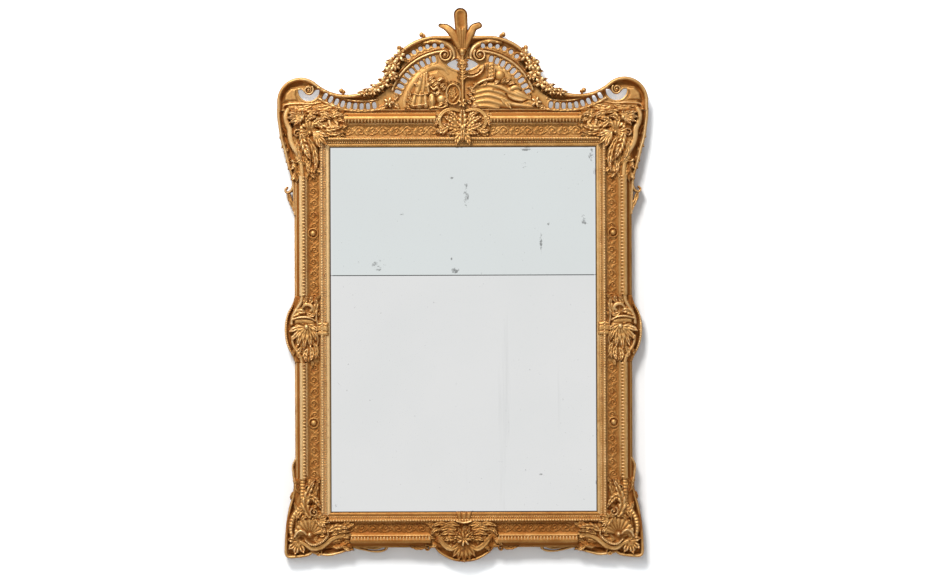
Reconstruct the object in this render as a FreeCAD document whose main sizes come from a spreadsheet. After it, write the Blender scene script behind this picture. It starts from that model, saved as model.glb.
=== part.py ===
import FreeCAD, Part
import Sketcher
import math
import os

from FreeCAD import Placement, Rotation, Vector

# Carved and gilded wall mirror with a pierced crest, two plates of glass and a wooden back.
# X runs to the viewer's right, Z up, and the front faces -Y. The wall is the plane Y = 0.
# The origin lies on the wall plane, half way up the bottom member of the frame.
doc = FreeCAD.newDocument("CarvedMirror")
sheet = doc.addObject("Spreadsheet::Sheet", "Sizes")

SIZES = {
    # opening of the frame and the glass behind it
    "sight_width": 1036,
    "sight_height": 1420,
    "seam_height": 920,
    "seam_gap": 0.6,
    "glass_thickness": 5,
    # widths across a frame member, from the outer edge to the sight edge
    "lip_width": 6,
    "outer_moulding_width": 42,
    "frieze_width": 50,
    "sight_moulding_width": 39,
    # depths, all measured forward from the wall
    "carcass_depth": 38,
    "lip_depth": 30,
    "outer_moulding_rise": 32,
    "sight_moulding_rise": 16,
    # rebate in the back of the carcass
    "sight_overlap": 12,
    "rebate_width": 25,
    "rebate_depth": 8,
    # carcass joints
    "tenon_length": 45,
    "tenon_width": 56,
    "tenon_thickness": 12,
    "joint_clearance": 0.2,
    # carved ornaments
    "bed_rise": 10,
    "wing_back": 12,
    "rim_width": 11,
    "rim_rise": 12,
    "upper_arm": 196,
    "upper_drop": 250,
    "upper_reach": 68,
    "upper_tail": 400,
    "lower_arm": 215,
    "lower_height": 270,
    "lower_reach": 41,
    "lower_sag": 38,
    "lower_tail": 320,
    "side_level": 712,
    "side_height": 260,
    "side_reach": 43,
    "top_width": 210,
    "top_lift": 12,
    "bottom_width": 260,
    "bottom_sag": 57,
    "shell_radius": 58,
    "scroll_radius": 27,
    "scroll_roll": 8,
    "boss_diameter": 46,
    "boss_rise": 15,
    "boss_share": 0.52,
    # crest outline: a hump each side of the middle, a valley and a round shoulder
    "crest_back": 12,
    "hump_x": 100,
    "hump_z": 90,
    "hump_radius": 202,
    "shoulder_inset": 27,
    "shoulder_z": 40,
    "shoulder_radius": 92,
    "valley_height": 65,
    "wing_joint": 318,
    # crest piercing
    "gallery_shift": 58,
    "gallery_level": 20,
    "gallery_radius": 275,
    "gallery_first": -121.5,
    "gallery_step": 5.2,
    "gallery_slots": 9,
    "arcade_x": 58,
    "arcade_z": 4,
    "arcade_margin": 4,
    "arcade_first": 105,
    "arcade_step": 6.8,
    "arcade_slots": 9,
    "lantern_inset": 36,
    "lantern_first": 83,
    "lantern_step": 9.8,
    "lantern_slots": 6,
    "slot_width": 15.5,
    "slot_length": 28,
    "lantern_length": 20,
    "crescent_radius": 41,
    "crescent_hollow": 31,
    "crescent_shift": 20,
    # crest carving
    "volute_x": 68,
    "volute_z": 218,
    "volute_radius": 17,
    "volute_roll": 7,
    "shoulder_eye_x": 30,
    "shoulder_eye_z": 62,
    "plume_height": 172,
    "plume_width": 160,
    "plume_foot": 228,
    "swag_flowers": 8,
    "flower_radius": 20,
    "shield_width": 62,
    "shield_height": 84,
    "shield_z": 68,
    "banner_length": 190,
    "banner_width": 44,
    # back of the frame
    "backboard_thickness": 12,
    "board_gap": 1,
    "plate_clearance": 1,
    "glazing_block_length": 70,
    "glazing_block_width": 14,
    "ledge_width": 50,
    "ledge_thickness": 6,
    "ledge_spacing": 560,
    "ledge_margin": 60,
    "batten_width": 40,
    "batten_spacing": 190,
    "batten_lap": 80,
    "batten_rise": 170,
    "dowel_diameter": 12,
    "dowel_depth": 25,
    "button_length": 42,
    "button_width": 16,
    "button_thickness": 5,
    "button_heel": 10,
    "button_clearance": 0.3,
    "button_spacing": 820,
    "screw_diameter": 5,
    "screw_depth": 18,
    "screw_head_diameter": 9,
    "screw_head_rise": 2,
    "pin_clearance": 0.06,
    # hangers, let into the back so that the frame lies flat on the wall
    "hanger_recess": 13.5,
    "recess_margin": 4,
    "hanger_inset": 52,
    "hanger_drop": 240,
    "strap_width": 26,
    "strap_length": 112,
    "strap_thickness": 3,
    "strap_screw_pitch": 30,
    "knuckle_length": 20,
    "ring_wire": 6,
    "ring_radius": 22,
    "ring_clearance": 0.25,
}
for row, (alias, amount) in enumerate(SIZES.items(), start=1):
    sheet.set(f"A{row}", alias)
    sheet.set(f"B{row}", str(amount))
    sheet.setAlias(f"B{row}", alias)
doc.recompute()

# Places that many pieces share, as expressions on the sheet.
MEMBER = (
    "(Sizes.lip_width + Sizes.outer_moulding_width + Sizes.frieze_width"
    " + Sizes.sight_moulding_width)"
)
BED_WIDTH = "(Sizes.lip_width + Sizes.outer_moulding_width + Sizes.frieze_width)"
FRAME_HALF = f"(Sizes.sight_width / 2 + {MEMBER})"
SIGHT_BOTTOM = f"({MEMBER} / 2)"
SIGHT_MIDDLE = f"({SIGHT_BOTTOM} + Sizes.sight_height / 2)"
SIGHT_TOP = f"({SIGHT_BOTTOM} + Sizes.sight_height)"
FRAME_TOP = f"({SIGHT_TOP} + {MEMBER})"
FRAME_BOTTOM = f"(-{MEMBER} / 2)"
FRAME_HEIGHT = f"(Sizes.sight_height + 2 * {MEMBER})"
OPENING_WIDTH = "(Sizes.sight_width + 2 * Sizes.sight_overlap)"
OPENING_HEIGHT = "(Sizes.sight_height + 2 * Sizes.sight_overlap)"
SIDE_LEVEL = f"({SIGHT_BOTTOM} + Sizes.side_level)"
SHOULDER_X = f"({FRAME_HALF} - Sizes.shoulder_inset)"
BUTTON_LINE = "(Sizes.sight_overlap + Sizes.rebate_width / 2)"
TENON_LINE = f"((Sizes.sight_overlap + Sizes.rebate_width + {MEMBER}) / 2)"
TENON_LEVEL = "((Sizes.carcass_depth + Sizes.rebate_depth) / 2)"
SCREW_HOLE = "(Sizes.screw_diameter / 2 + Sizes.pin_clearance)"
DOWEL_LEVEL = "((Sizes.crest_back + Sizes.carcass_depth) / 2)"
RAIL_DOWEL_X = f"({OPENING_WIDTH} / 2 - 2.5 * Sizes.dowel_diameter)"
BATTEN_X = "(Sizes.batten_spacing / 2)"
KNUCKLE_RADIUS = "(Sizes.ring_wire / 2 + Sizes.pin_clearance + Sizes.strap_thickness)"
RING_LINE = "(Sizes.strap_thickness + Sizes.ring_clearance + Sizes.ring_wire / 2)"

finished = []


def num(expression):
    return float(sheet.evalExpression(str(expression)))


def keep(item, label):
    item.Label = label
    finished.append(item)
    return item


# Sketch helpers. An outline is a closed list of corners (x, y), each bound to the sheet. A corner
# with a third entry starts an arc: its radius in chord lengths, negative where the edge is hollow.
def new_body(label):
    body = doc.addObject("PartDesign::Body", label)
    return keep(body, label)


def new_sketch(body, plane_role, offset="0"):
    sketch = body.newObject("Sketcher::SketchObject", "Sketch")
    plane = [item for item in body.Origin.OriginFeatures if item.Role == plane_role][0]
    sketch.AttachmentSupport = [(plane, "")]
    sketch.MapMode = "FlatFace"
    sketch.setExpression("AttachmentOffset.Base.z", offset)
    return sketch


def bind(sketch, constraint, expression):
    index = sketch.addConstraint(constraint)
    sketch.setExpression(f"Constraints[{index}]", expression)


def bind_point(sketch, edge, end, x, y):
    bind(sketch, Sketcher.Constraint("DistanceX", -1, 1, edge, end, num(x)), x)
    bind(sketch, Sketcher.Constraint("DistanceY", -1, 1, edge, end, num(y)), y)


def bulged_edge(start, stop, roundness):
    chord = stop - start
    radius = abs(roundness) * chord.Length
    sagitta = radius - math.sqrt(radius ** 2 - (chord.Length / 2) ** 2)
    outward = Vector(chord.y, -chord.x, 0).normalize()
    crown = (start + stop) / 2 + outward * math.copysign(sagitta, roundness)
    return Part.Arc(start, crown, stop)


def add_outline(sketch, corners):
    points = [Vector(num(corner[0]), num(corner[1]), 0) for corner in corners]
    edges = []
    for index, corner in enumerate(corners):
        start = points[index]
        stop = points[(index + 1) % len(points)]
        shape = Part.LineSegment(start, stop)
        if len(corner) == 3:
            shape = bulged_edge(start, stop, corner[2])
        edge = sketch.addGeometry(shape, False)
        forward = sketch.getPoint(edge, 1).distanceToPoint(start) < 1e-6
        edges.append((edge, 1, 2) if forward else (edge, 2, 1))
    for index, corner in enumerate(corners):
        edge, first, last = edges[index]
        following = edges[(index + 1) % len(edges)]
        sketch.addConstraint(Sketcher.Constraint("Coincident", edge, last, following[0], following[1]))
        bind_point(sketch, edge, first, corner[0], corner[1])
        if len(corner) == 3:
            after = corners[(index + 1) % len(corners)]
            chord = f"sqrt((({after[0]}) - ({corner[0]}))^2 + (({after[1]}) - ({corner[1]}))^2)"
            radius = f"{abs(corner[2])} * {chord}"
            bind(sketch, Sketcher.Constraint("Radius", edge, num(radius)), radius)


def add_circle(sketch, x, y, radius):
    centre = Vector(num(x), num(y), 0)
    edge = sketch.addGeometry(Part.Circle(centre, Vector(0, 0, 1), num(radius)), False)
    bind_point(sketch, edge, 3, x, y)
    bind(sketch, Sketcher.Constraint("Radius", edge, num(radius)), radius)


def rectangle(x_low, x_high, y_low, y_high):
    return [(x_low, y_low), (x_high, y_low), (x_high, y_high), (x_low, y_high)]


def pad(body, sketch, length, side="One side", backward=False):
    feature = body.newObject("PartDesign::Pad", "Pad")
    feature.Profile = sketch
    feature.SideType = side
    feature.Reversed = backward
    feature.setExpression("Length", length)
    sketch.Visibility = False
    doc.recompute()
    return feature


def pocket(body, sketch, length=None, backward=False):
    before = body.Shape.Volume
    feature = body.newObject("PartDesign::Pocket", "Pocket")
    feature.Profile = sketch
    feature.Reversed = backward
    if length is None:
        feature.Type = "ThroughAll"
    else:
        feature.setExpression("Length", length)
    doc.recompute()
    if body.Shape.Volume > before - 1e-3:
        raise RuntimeError(f"{body.Label}: a pocket cuts nothing")
    return feature


# A frame member lies along its own X, with its section drawn outward (Z) from the sight edge and
# forward (-Y) from the wall. Each side of the frame turns that member about Y.
SIDES = {
    "top": (0, "0", SIGHT_TOP),
    "right": (90, "Sizes.sight_width / 2", SIGHT_MIDDLE),
    "bottom": (180, "0", SIGHT_BOTTOM),
    "left": (-90, "-Sizes.sight_width / 2", SIGHT_MIDDLE),
}


def place_on_side(item, side, shift_x="0", shift_z="0"):
    angle, x, z = SIDES[side]
    item.Placement = Placement(Vector(), Rotation(Vector(0, 1, 0), angle))
    item.setExpression("Placement.Base.x", f"{x} + {shift_x}")
    item.setExpression("Placement.Base.z", f"{z} + {shift_z}")


def member(label, section, length):
    body = new_body(label)
    sketch = new_sketch(body, "YZ_Plane")
    corners = [(f"-({forward})", outward, *bulge) for outward, forward, *bulge in section]
    add_outline(sketch, corners)
    pad(body, sketch, length, side="Symmetric")
    return body


# Carcass
CARCASS_SECTION = [
    ("Sizes.sight_overlap", "Sizes.rebate_depth"),
    ("Sizes.sight_overlap + Sizes.rebate_width", "Sizes.rebate_depth"),
    ("Sizes.sight_overlap + Sizes.rebate_width", "0"),
    (MEMBER, "0"),
    (MEMBER, "Sizes.lip_depth"),
    (f"{MEMBER} - Sizes.lip_width", "Sizes.lip_depth"),
    (f"{MEMBER} - Sizes.lip_width", "Sizes.carcass_depth"),
    ("Sizes.sight_overlap", "Sizes.carcass_depth"),
]
HANGER_Z = f"({FRAME_TOP} - Sizes.hanger_drop)"
HANGER_OUTWARD = f"({MEMBER} - Sizes.hanger_inset)"


def drill_back(body, centres, floor="0"):
    sketch = new_sketch(body, "XZ_Plane", floor)
    for x, z in centres:
        add_circle(sketch, x, z, SCREW_HOLE)
    pocket(body, sketch, "Sizes.screw_depth", backward=True)


def strap_screw_drops():
    first = "(Sizes.ring_radius + Sizes.ring_wire + Sizes.screw_head_diameter)"
    return [f"({first} + {index} * Sizes.strap_screw_pitch)" for index in range(3)]


def stile(side):
    body = member(f"stile_{side}", CARCASS_SECTION, FRAME_HEIGHT)
    half_width = "(Sizes.tenon_width / 2 + Sizes.joint_clearance)"
    centre = f"(Sizes.sight_height / 2 + {TENON_LINE})"
    depth = "(Sizes.sight_overlap + Sizes.tenon_length + Sizes.joint_clearance)"
    top = f"{TENON_LEVEL} + Sizes.tenon_thickness / 2 + Sizes.joint_clearance"
    mortises = new_sketch(body, "XZ_Plane", top)
    for sign in ("", "-"):
        low = f"{sign}{centre} - {half_width}"
        high = f"{sign}{centre} + {half_width}"
        add_outline(mortises, rectangle(low, high, "Sizes.sight_overlap", depth))
    pocket(body, mortises, "Sizes.tenon_thickness + 2 * Sizes.joint_clearance")
    buttons = [(f"{sign}Sizes.button_spacing / 2", BUTTON_LINE) for sign in ("", "-")]
    drill_back(body, buttons, "Sizes.rebate_depth")
    up = "-" if side == "right" else ""
    reach = f"({HANGER_Z} - {SIGHT_MIDDLE})"
    foot = f"{up}({reach} - Sizes.strap_length - Sizes.recess_margin)"
    head = f"{up}({reach} + Sizes.ring_radius + Sizes.ring_wire / 2 + Sizes.recess_margin)"
    half_recess = "(Sizes.ring_radius + Sizes.ring_wire / 2 + Sizes.recess_margin)"
    inner = f"{HANGER_OUTWARD} - {half_recess}"
    outer = f"{HANGER_OUTWARD} + {half_recess}"
    recess = new_sketch(body, "XZ_Plane")
    add_outline(recess, rectangle(foot, head, inner, outer))
    pocket(body, recess, "Sizes.hanger_recess", backward=True)
    screws = [(f"{up}({reach} - {drop})", HANGER_OUTWARD) for drop in strap_screw_drops()]
    drill_back(body, screws, "Sizes.hanger_recess")
    dowel = new_sketch(body, "YZ_Plane", f"{up}({FRAME_HEIGHT} / 2)")
    dowel_outward = f"{SHOULDER_X} - Sizes.sight_width / 2"
    add_circle(dowel, f"-{DOWEL_LEVEL}", dowel_outward, "Sizes.dowel_diameter / 2")
    pocket(body, dowel, "Sizes.dowel_depth", backward=side == "right")
    place_on_side(body, side)


def rail(side):
    body = member(f"rail_{side}", CARCASS_SECTION, OPENING_WIDTH)
    tenons = new_sketch(body, "XZ_Plane", f"{TENON_LEVEL} - Sizes.tenon_thickness / 2")
    end = f"({OPENING_WIDTH} / 2 + Sizes.tenon_length)"
    low = f"{TENON_LINE} - Sizes.tenon_width / 2"
    high = f"{TENON_LINE} + Sizes.tenon_width / 2"
    add_outline(tenons, rectangle(f"-{end}", end, low, high))
    pad(body, tenons, "Sizes.tenon_thickness")
    drill_back(body, [("0", BUTTON_LINE)], "Sizes.rebate_depth")
    place_on_side(body, side)
    return body


def top_rail():
    body = rail("top")
    half = "(Sizes.batten_width / 2 + Sizes.joint_clearance)"
    housings = new_sketch(body, "XZ_Plane", "Sizes.crest_back")
    for sign in ("", "-"):
        low = f"{sign}{BATTEN_X} - {half}"
        high = f"{sign}{BATTEN_X} + {half}"
        add_outline(housings, rectangle(low, high, f"{MEMBER} - Sizes.batten_lap", MEMBER))
    pocket(body, housings, "Sizes.crest_back")
    screws = [(f"{sign}{BATTEN_X}", f"{MEMBER} - Sizes.batten_lap / 2") for sign in ("", "-")]
    drill_back(body, screws, "Sizes.crest_back")
    dowels = new_sketch(body, "XY_Plane", MEMBER)
    for sign in ("", "-"):
        add_circle(dowels, f"{sign}{RAIL_DOWEL_X}", f"-{DOWEL_LEVEL}", "Sizes.dowel_diameter / 2")
    pocket(body, dowels, "Sizes.dowel_depth")


stile("left")
stile("right")
rail("bottom")
top_rail()

# Sight mouldings, mitred, lapping the glass
SIGHT_FOOT = "Sizes.carcass_depth"
SIGHT_CROWN = "(Sizes.carcass_depth + Sizes.sight_moulding_rise)"
SIGHT_SECTION = [
    ("0", SIGHT_FOOT),
    ("Sizes.sight_moulding_width", SIGHT_FOOT),
    ("Sizes.sight_moulding_width", f"{SIGHT_FOOT} + 0.25 * Sizes.sight_moulding_rise"),
    ("0.88 * Sizes.sight_moulding_width", f"{SIGHT_FOOT} + 0.25 * Sizes.sight_moulding_rise"),
    ("0.88 * Sizes.sight_moulding_width", f"{SIGHT_CROWN}", 0.56),
    ("0.64 * Sizes.sight_moulding_width", f"{SIGHT_CROWN}"),
    ("0.60 * Sizes.sight_moulding_width", f"{SIGHT_FOOT} + 0.80 * Sizes.sight_moulding_rise", -1.1),
    ("0.24 * Sizes.sight_moulding_width", f"{SIGHT_FOOT} + 0.45 * Sizes.sight_moulding_rise"),
    ("0.24 * Sizes.sight_moulding_width", f"{SIGHT_FOOT} + 0.55 * Sizes.sight_moulding_rise", 0.58),
    ("0", f"{SIGHT_FOOT} + 0.40 * Sizes.sight_moulding_rise"),
]


def sight_moulding(side, sight_length):
    width = "Sizes.sight_moulding_width"
    body = member(f"sight_moulding_{side}", SIGHT_SECTION, f"{sight_length} + 2 * {width}")
    mitres = new_sketch(body, "XZ_Plane", f"2 * {SIGHT_CROWN}")
    for sign in ("", "-"):
        inner = f"{sign}({sight_length} / 2)"
        outer = f"{sign}({sight_length} / 2 + {width})"
        add_outline(mitres, [(inner, "0"), (outer, "0"), (outer, width)])
    pocket(body, mitres)
    place_on_side(body, side)


sight_moulding("top", "Sizes.sight_width")
sight_moulding("bottom", "Sizes.sight_width")
sight_moulding("left", "Sizes.sight_height")
sight_moulding("right", "Sizes.sight_height")

# Outer mouldings: a roll with a hollow outside it, in runs that stop against the ornaments
ROLL_INNER = "(Sizes.sight_moulding_width + Sizes.frieze_width)"
ROLL_OUTER = f"({ROLL_INNER} + Sizes.outer_moulding_width)"
ROLL_FOOT = "Sizes.carcass_depth"
ROLL_OUTSIDE = f"({ROLL_OUTER} - 0.40 * Sizes.outer_moulding_width)"
ROLL_INSIDE = f"({ROLL_INNER} + 0.14 * Sizes.outer_moulding_width)"
ROLL_SECTION = [
    (ROLL_INNER, ROLL_FOOT),
    (ROLL_OUTER, ROLL_FOOT),
    (ROLL_OUTER, f"{ROLL_FOOT} + 0.10 * Sizes.outer_moulding_rise", -0.78),
    (ROLL_OUTSIDE, f"{ROLL_FOOT} + 0.62 * Sizes.outer_moulding_rise"),
    (ROLL_OUTSIDE, f"{ROLL_FOOT} + 0.68 * Sizes.outer_moulding_rise", 0.56),
    (ROLL_INSIDE, f"{ROLL_FOOT} + 0.50 * Sizes.outer_moulding_rise"),
    (ROLL_INSIDE, f"{ROLL_FOOT} + 0.30 * Sizes.outer_moulding_rise"),
    (ROLL_INNER, f"{ROLL_FOOT} + 0.30 * Sizes.outer_moulding_rise"),
]


def outer_moulding(name, side, start, stop):
    # start and stop are world X on the top and bottom, world Z on the left and right
    body = member(f"outer_moulding_{name}", ROLL_SECTION, f"({stop}) - ({start})")
    middle = f"(({start}) + ({stop})) / 2"
    if side in ("top", "bottom"):
        place_on_side(body, side, shift_x=middle)
    else:
        place_on_side(body, side, shift_z=f"{middle} - {SIGHT_MIDDLE}")


UPPER_RUN = (f"{SIDE_LEVEL} + Sizes.side_height / 2", f"{FRAME_TOP} - Sizes.upper_drop")
LOWER_RUN = (f"{FRAME_BOTTOM} + Sizes.lower_height", f"{SIDE_LEVEL} - Sizes.side_height / 2")
for side in ("left", "right"):
    outer_moulding(f"{side}_upper", side, *UPPER_RUN)
    outer_moulding(f"{side}_lower", side, *LOWER_RUN)
for name, sign in (("left", "-"), ("right", "")):
    top_run = [f"{sign}(Sizes.top_width / 2)", f"{sign}({FRAME_HALF} - Sizes.upper_arm)"]
    bottom_run = [f"{sign}(Sizes.bottom_width / 2)", f"{sign}({FRAME_HALF} - Sizes.lower_arm)"]
    if name == "left":
        top_run.reverse()
        bottom_run.reverse()
    outer_moulding(f"top_{name}", "top", *top_run)
    outer_moulding(f"bottom_{name}", "bottom", *bottom_run)


# Carved ornaments are drawn flat, X right, Y up and Z towards the viewer, about a point of the
# frame, then stood up against the carcass. Each grows from a bed that lies on the carcass.
def size(alias):
    return num(f"Sizes.{alias}")


def outline_face(start, *moves):
    edges = []
    here = Vector(start[0], start[1], 0)
    for move in moves:
        if isinstance(move[0], tuple):
            through = Vector(move[0][0], move[0][1], 0)
            there = Vector(move[1][0], move[1][1], 0)
            edges.append(Part.Arc(here, through, there).toShape())
        else:
            there = Vector(move[0], move[1], 0)
            edges.append(Part.makeLine(here, there))
        here = there
    return Part.Face(Part.Wire(edges))


def slab(face, low, high):
    solid = face.extrude(Vector(0, 0, high - low))
    solid.translate(Vector(0, 0, low))
    return solid


def box(x_low, x_high, y_low, y_high, low, high):
    return Part.makeBox(x_high - x_low, y_high - y_low, high - low, Vector(x_low, y_low, low))


def roll(x, y, radius, tube, level, start, sweep):
    # a rolled C scroll with a round bead at each end
    arc = Part.makeTorus(radius, tube, Vector(), Vector(0, 0, 1), -180, 180, sweep)
    arc.rotate(Vector(), Vector(0, 0, 1), start)
    beads = []
    for angle in (start, start + sweep):
        turn = math.radians(angle)
        end = Vector(radius * math.cos(turn), radius * math.sin(turn), 0)
        beads.append(Part.makeSphere(tube * 1.35, end))
    scroll = arc.multiFuse(beads)
    scroll.translate(Vector(x, y, level))
    return scroll


def shell(x, y, radius, level, start, sweep, flutes):
    # a fan of tapering flutes about a round hinge
    step = sweep / (flutes - 1)
    thick = radius * math.tan(math.radians(step / 2)) * 1.25
    ribs = []
    for index in range(flutes):
        rib = Part.makeCone(thick * 0.2, thick, radius, Vector(), Vector(1, 0, 0))
        rib = rib.fuse(Part.makeSphere(thick, Vector(radius, 0, 0)))
        rib.rotate(Vector(), Vector(0, 0, 1), start + index * step)
        ribs.append(rib)
    hinge = Part.makeSphere(radius * 0.2, Vector())
    fan = hinge.multiFuse(ribs)
    fan.translate(Vector(x, y, level))
    return fan


def leaf(x, y, length, width, rise, level, heading, lift=0):
    # a long leaf, flat behind and rounded in front, from a narrow stalk to a pointed tip
    stations = ((0.0, 0.35), (0.35, 1.0), (0.7, 0.72), (1.0, 0.06))
    rings = []
    for along, share in stations:
        half = width * share / 2
        low = lift * along ** 2
        crown = Vector(length * along, 0, low + rise * (0.25 + 0.75 * share))
        left = Vector(length * along, -half, low)
        right = Vector(length * along, half, low)
        rings.append(Part.Wire([Part.Arc(left, crown, right).toShape(), Part.makeLine(right, left)]))
    blade = Part.makeLoft(rings, True, False)
    blade.rotate(Vector(), Vector(0, 0, 1), heading)
    blade.translate(Vector(x, y, level))
    return blade


def front_only(solid, level):
    bounds = solid.BoundBox
    margin = bounds.DiagonalLength
    keepers = box(bounds.XMin - margin, bounds.XMax + margin, bounds.YMin - margin, bounds.YMax + margin,
                  level, bounds.ZMax + margin)
    return solid.common(keepers)


def carve(bed, details, level):
    carved = bed.multiFuse([front_only(detail, level) for detail in details])
    if len(carved.Solids) != 1:
        raise RuntimeError(f"a carving falls into {len(carved.Solids)} pieces")
    return carved.Solids[0]


def stand(label, shape, x, z):
    item = doc.addObject("Part::Feature", label)
    item.Shape = shape
    item.Placement = Placement(Vector(x, 0, z), Rotation(Vector(1, 0, 0), 90))
    return keep(item, label)


def mirrored(shape):
    return shape.mirror(Vector(), Vector(1, 0, 0))


def stand_pair(name, shape, x, z):
    stand(f"{name}_left", shape, -x, z)
    stand(f"{name}_right", mirrored(shape), x, z)


depth = size("carcass_depth")
bed_top = depth + size("bed_rise")
bed_width = num(BED_WIDTH)
rim_top = bed_top + size("rim_rise")
rim_width = size("rim_width")
frame_half = num(FRAME_HALF)
frame_top = num(FRAME_TOP)
frame_bottom = num(FRAME_BOTTOM)
bed_middle = bed_width / 2
wing_floor = (depth + bed_top) / 2
leaf_rise = rim_top - bed_top


def upper_wing(inset):
    reach = size("upper_reach") - inset
    tail = size("upper_tail") - 6 * inset
    knee = (-0.5 * reach, -0.40 * tail)
    return outline_face((0, 0), (-reach, 0), ((-0.9 * reach, -0.22 * tail), knee),
                        ((-0.2 * reach, -0.68 * tail), (0, -tail)), (0, 0))


def upper_corner():
    arm = size("upper_arm")
    drop = size("upper_drop")
    ell = outline_face((0, 0), (0, -drop), (bed_width, -drop), (bed_width, -bed_width),
                       (arm, -bed_width), (arm, 0), (0, 0))
    bed = slab(ell, depth, bed_top)
    rim = slab(upper_wing(0), size("wing_back"), rim_top)
    rim = rim.cut(slab(upper_wing(rim_width), wing_floor, rim_top))
    fan = shell(bed_middle, -bed_middle, size("shell_radius"), bed_top, 60, 150, 9)
    roll_radius = size("scroll_radius")
    roll_tube = size("scroll_roll")
    eye = bed_width + roll_radius
    details = [
        fan,
        roll(eye, -bed_middle, roll_radius, roll_tube, bed_top, 60, 240),
        roll(bed_middle, -eye, roll_radius, roll_tube, bed_top, -30, 240),
        leaf(eye, -bed_middle, arm - eye, bed_middle, leaf_rise, bed_top, 0),
        leaf(bed_middle, -eye, drop - eye, bed_middle, leaf_rise, bed_top, -90),
    ]
    return carve(bed.fuse(rim), details, bed_top)


def lower_wing(inset):
    reach = size("lower_reach") - inset
    sag = size("lower_sag") - inset
    arm = size("lower_arm") - 3 * inset
    tail = size("lower_tail") - 6 * inset
    half_way = arm / 2
    return outline_face((0, tail), ((-0.3 * reach, 0.6 * tail), (-0.9 * reach, 0.2 * tail)),
                        (-reach, -0.4 * sag), ((-0.85 * reach, -0.85 * sag), (-0.4 * reach, -sag)),
                        (half_way, -sag), ((0.86 * arm, -0.62 * sag), (arm, 0)), (0, 0), (0, tail))


def lower_corner():
    arm = size("lower_arm")
    height = size("lower_height")
    ell = outline_face((0, 0), (arm, 0), (arm, bed_width), (bed_width, bed_width),
                       (bed_width, height), (0, height), (0, 0))
    bed = slab(ell, depth, bed_top)
    rim = slab(lower_wing(0), size("wing_back"), rim_top)
    rim = rim.cut(slab(lower_wing(rim_width), wing_floor, rim_top))
    fan = shell(bed_middle, bed_middle, size("shell_radius"), bed_top, 90, 150, 9)
    roll_radius = size("scroll_radius")
    roll_tube = size("scroll_roll")
    eye = bed_width + roll_radius
    details = [
        fan,
        roll(eye, bed_middle, roll_radius, roll_tube, bed_top, 60, 240),
        roll(bed_middle, eye, roll_radius, roll_tube, bed_top, 150, 240),
        leaf(eye, bed_middle, arm - eye, bed_middle, leaf_rise, bed_top, 0),
        leaf(bed_middle, eye, height - eye, bed_middle, leaf_rise, bed_top, 90),
    ]
    return carve(bed.fuse(rim), details, bed_top)


def side_bulge(inset):
    half = size("side_height") / 2 - 2 * inset
    reach = size("side_reach") - inset
    return outline_face((0, half), ((-reach, 0), (0, -half)), (0, half))


def side_cartouche():
    half = size("side_height") / 2
    bed = box(0, bed_width, -half, half, depth, bed_top)
    rim = slab(side_bulge(0), size("wing_back"), rim_top)
    rim = rim.cut(slab(side_bulge(rim_width), wing_floor, rim_top))
    roll_radius = size("scroll_radius")
    roll_tube = size("scroll_roll")
    boss = Part.makeSphere(roll_radius * 0.8, Vector(bed_middle, 0, bed_top))
    details = [boss]
    for turn in (1, -1):
        heading = turn * 90
        details.append(roll(bed_middle, turn * half / 2, roll_radius, roll_tube, bed_top, heading - 100, 200))
        details.append(leaf(bed_middle, turn * half / 3, half * 2 / 3, bed_middle, leaf_rise, bed_top, heading))
    return carve(bed.fuse(rim), details, bed_top)


def top_cartouche():
    half = size("top_width") / 2
    lift = size("top_lift")
    roll_radius = size("scroll_radius")
    roll_tube = size("scroll_roll")
    plaque = outline_face((-half, 0), (-half, -bed_width), (half, -bed_width), (half, 0),
                          (half / 2, 0), ((0, 2 * lift), (-half / 2, 0)), (-half, 0))
    bed = slab(plaque, depth, bed_top)
    details = [leaf(0, -bed_middle, bed_middle + lift, bed_middle, leaf_rise, bed_top, 90)]
    details.append(shell(0, -bed_middle, bed_middle - roll_tube, bed_top, 200, 140, 7))
    for turn in (1, -1):
        start = 90 - turn * 160
        details.append(roll(turn * half / 2, -bed_middle, roll_radius, roll_tube, bed_top, start, 250))
    return carve(bed, details, bed_top)


def bottom_swell(inset):
    half = size("bottom_width") / 2 - 2 * inset
    sag = size("bottom_sag") - inset
    return outline_face((-half, 0), ((-0.62 * half, -0.3 * sag), (-0.42 * half, -0.8 * sag)),
                        ((0, -sag), (0.42 * half, -0.8 * sag)),
                        ((0.62 * half, -0.3 * sag), (half, 0)), (-half, 0))


def bottom_cartouche():
    half = size("bottom_width") / 2
    roll_radius = size("scroll_radius")
    roll_tube = size("scroll_roll")
    bed = box(-half, half, 0, bed_width, depth, bed_top)
    rim = slab(bottom_swell(0), size("wing_back"), rim_top)
    rim = rim.cut(slab(bottom_swell(rim_width), wing_floor, rim_top))
    details = [shell(0, bed_middle, bed_middle - roll_tube, bed_top, 200, 140, 7)]
    for turn in (1, -1):
        start = 90 - turn * 160
        heading = 90 - turn * 90
        details.append(roll(turn * half / 2, bed_middle, roll_radius, roll_tube, bed_top, start, 250))
        details.append(leaf(turn * half / 3, bed_middle, half * 2 / 3, bed_middle, leaf_rise, bed_top, heading))
    return carve(bed.fuse(rim), details, bed_top)


stand_pair("upper_corner", upper_corner(), frame_half, frame_top)
stand_pair("lower_corner", lower_corner(), frame_half, frame_bottom)
stand_pair("side_cartouche", side_cartouche(), frame_half, num(SIDE_LEVEL))
stand("top_cartouche", top_cartouche(), 0, frame_top)
stand("bottom_cartouche", bottom_cartouche(), 0, frame_bottom)


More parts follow.
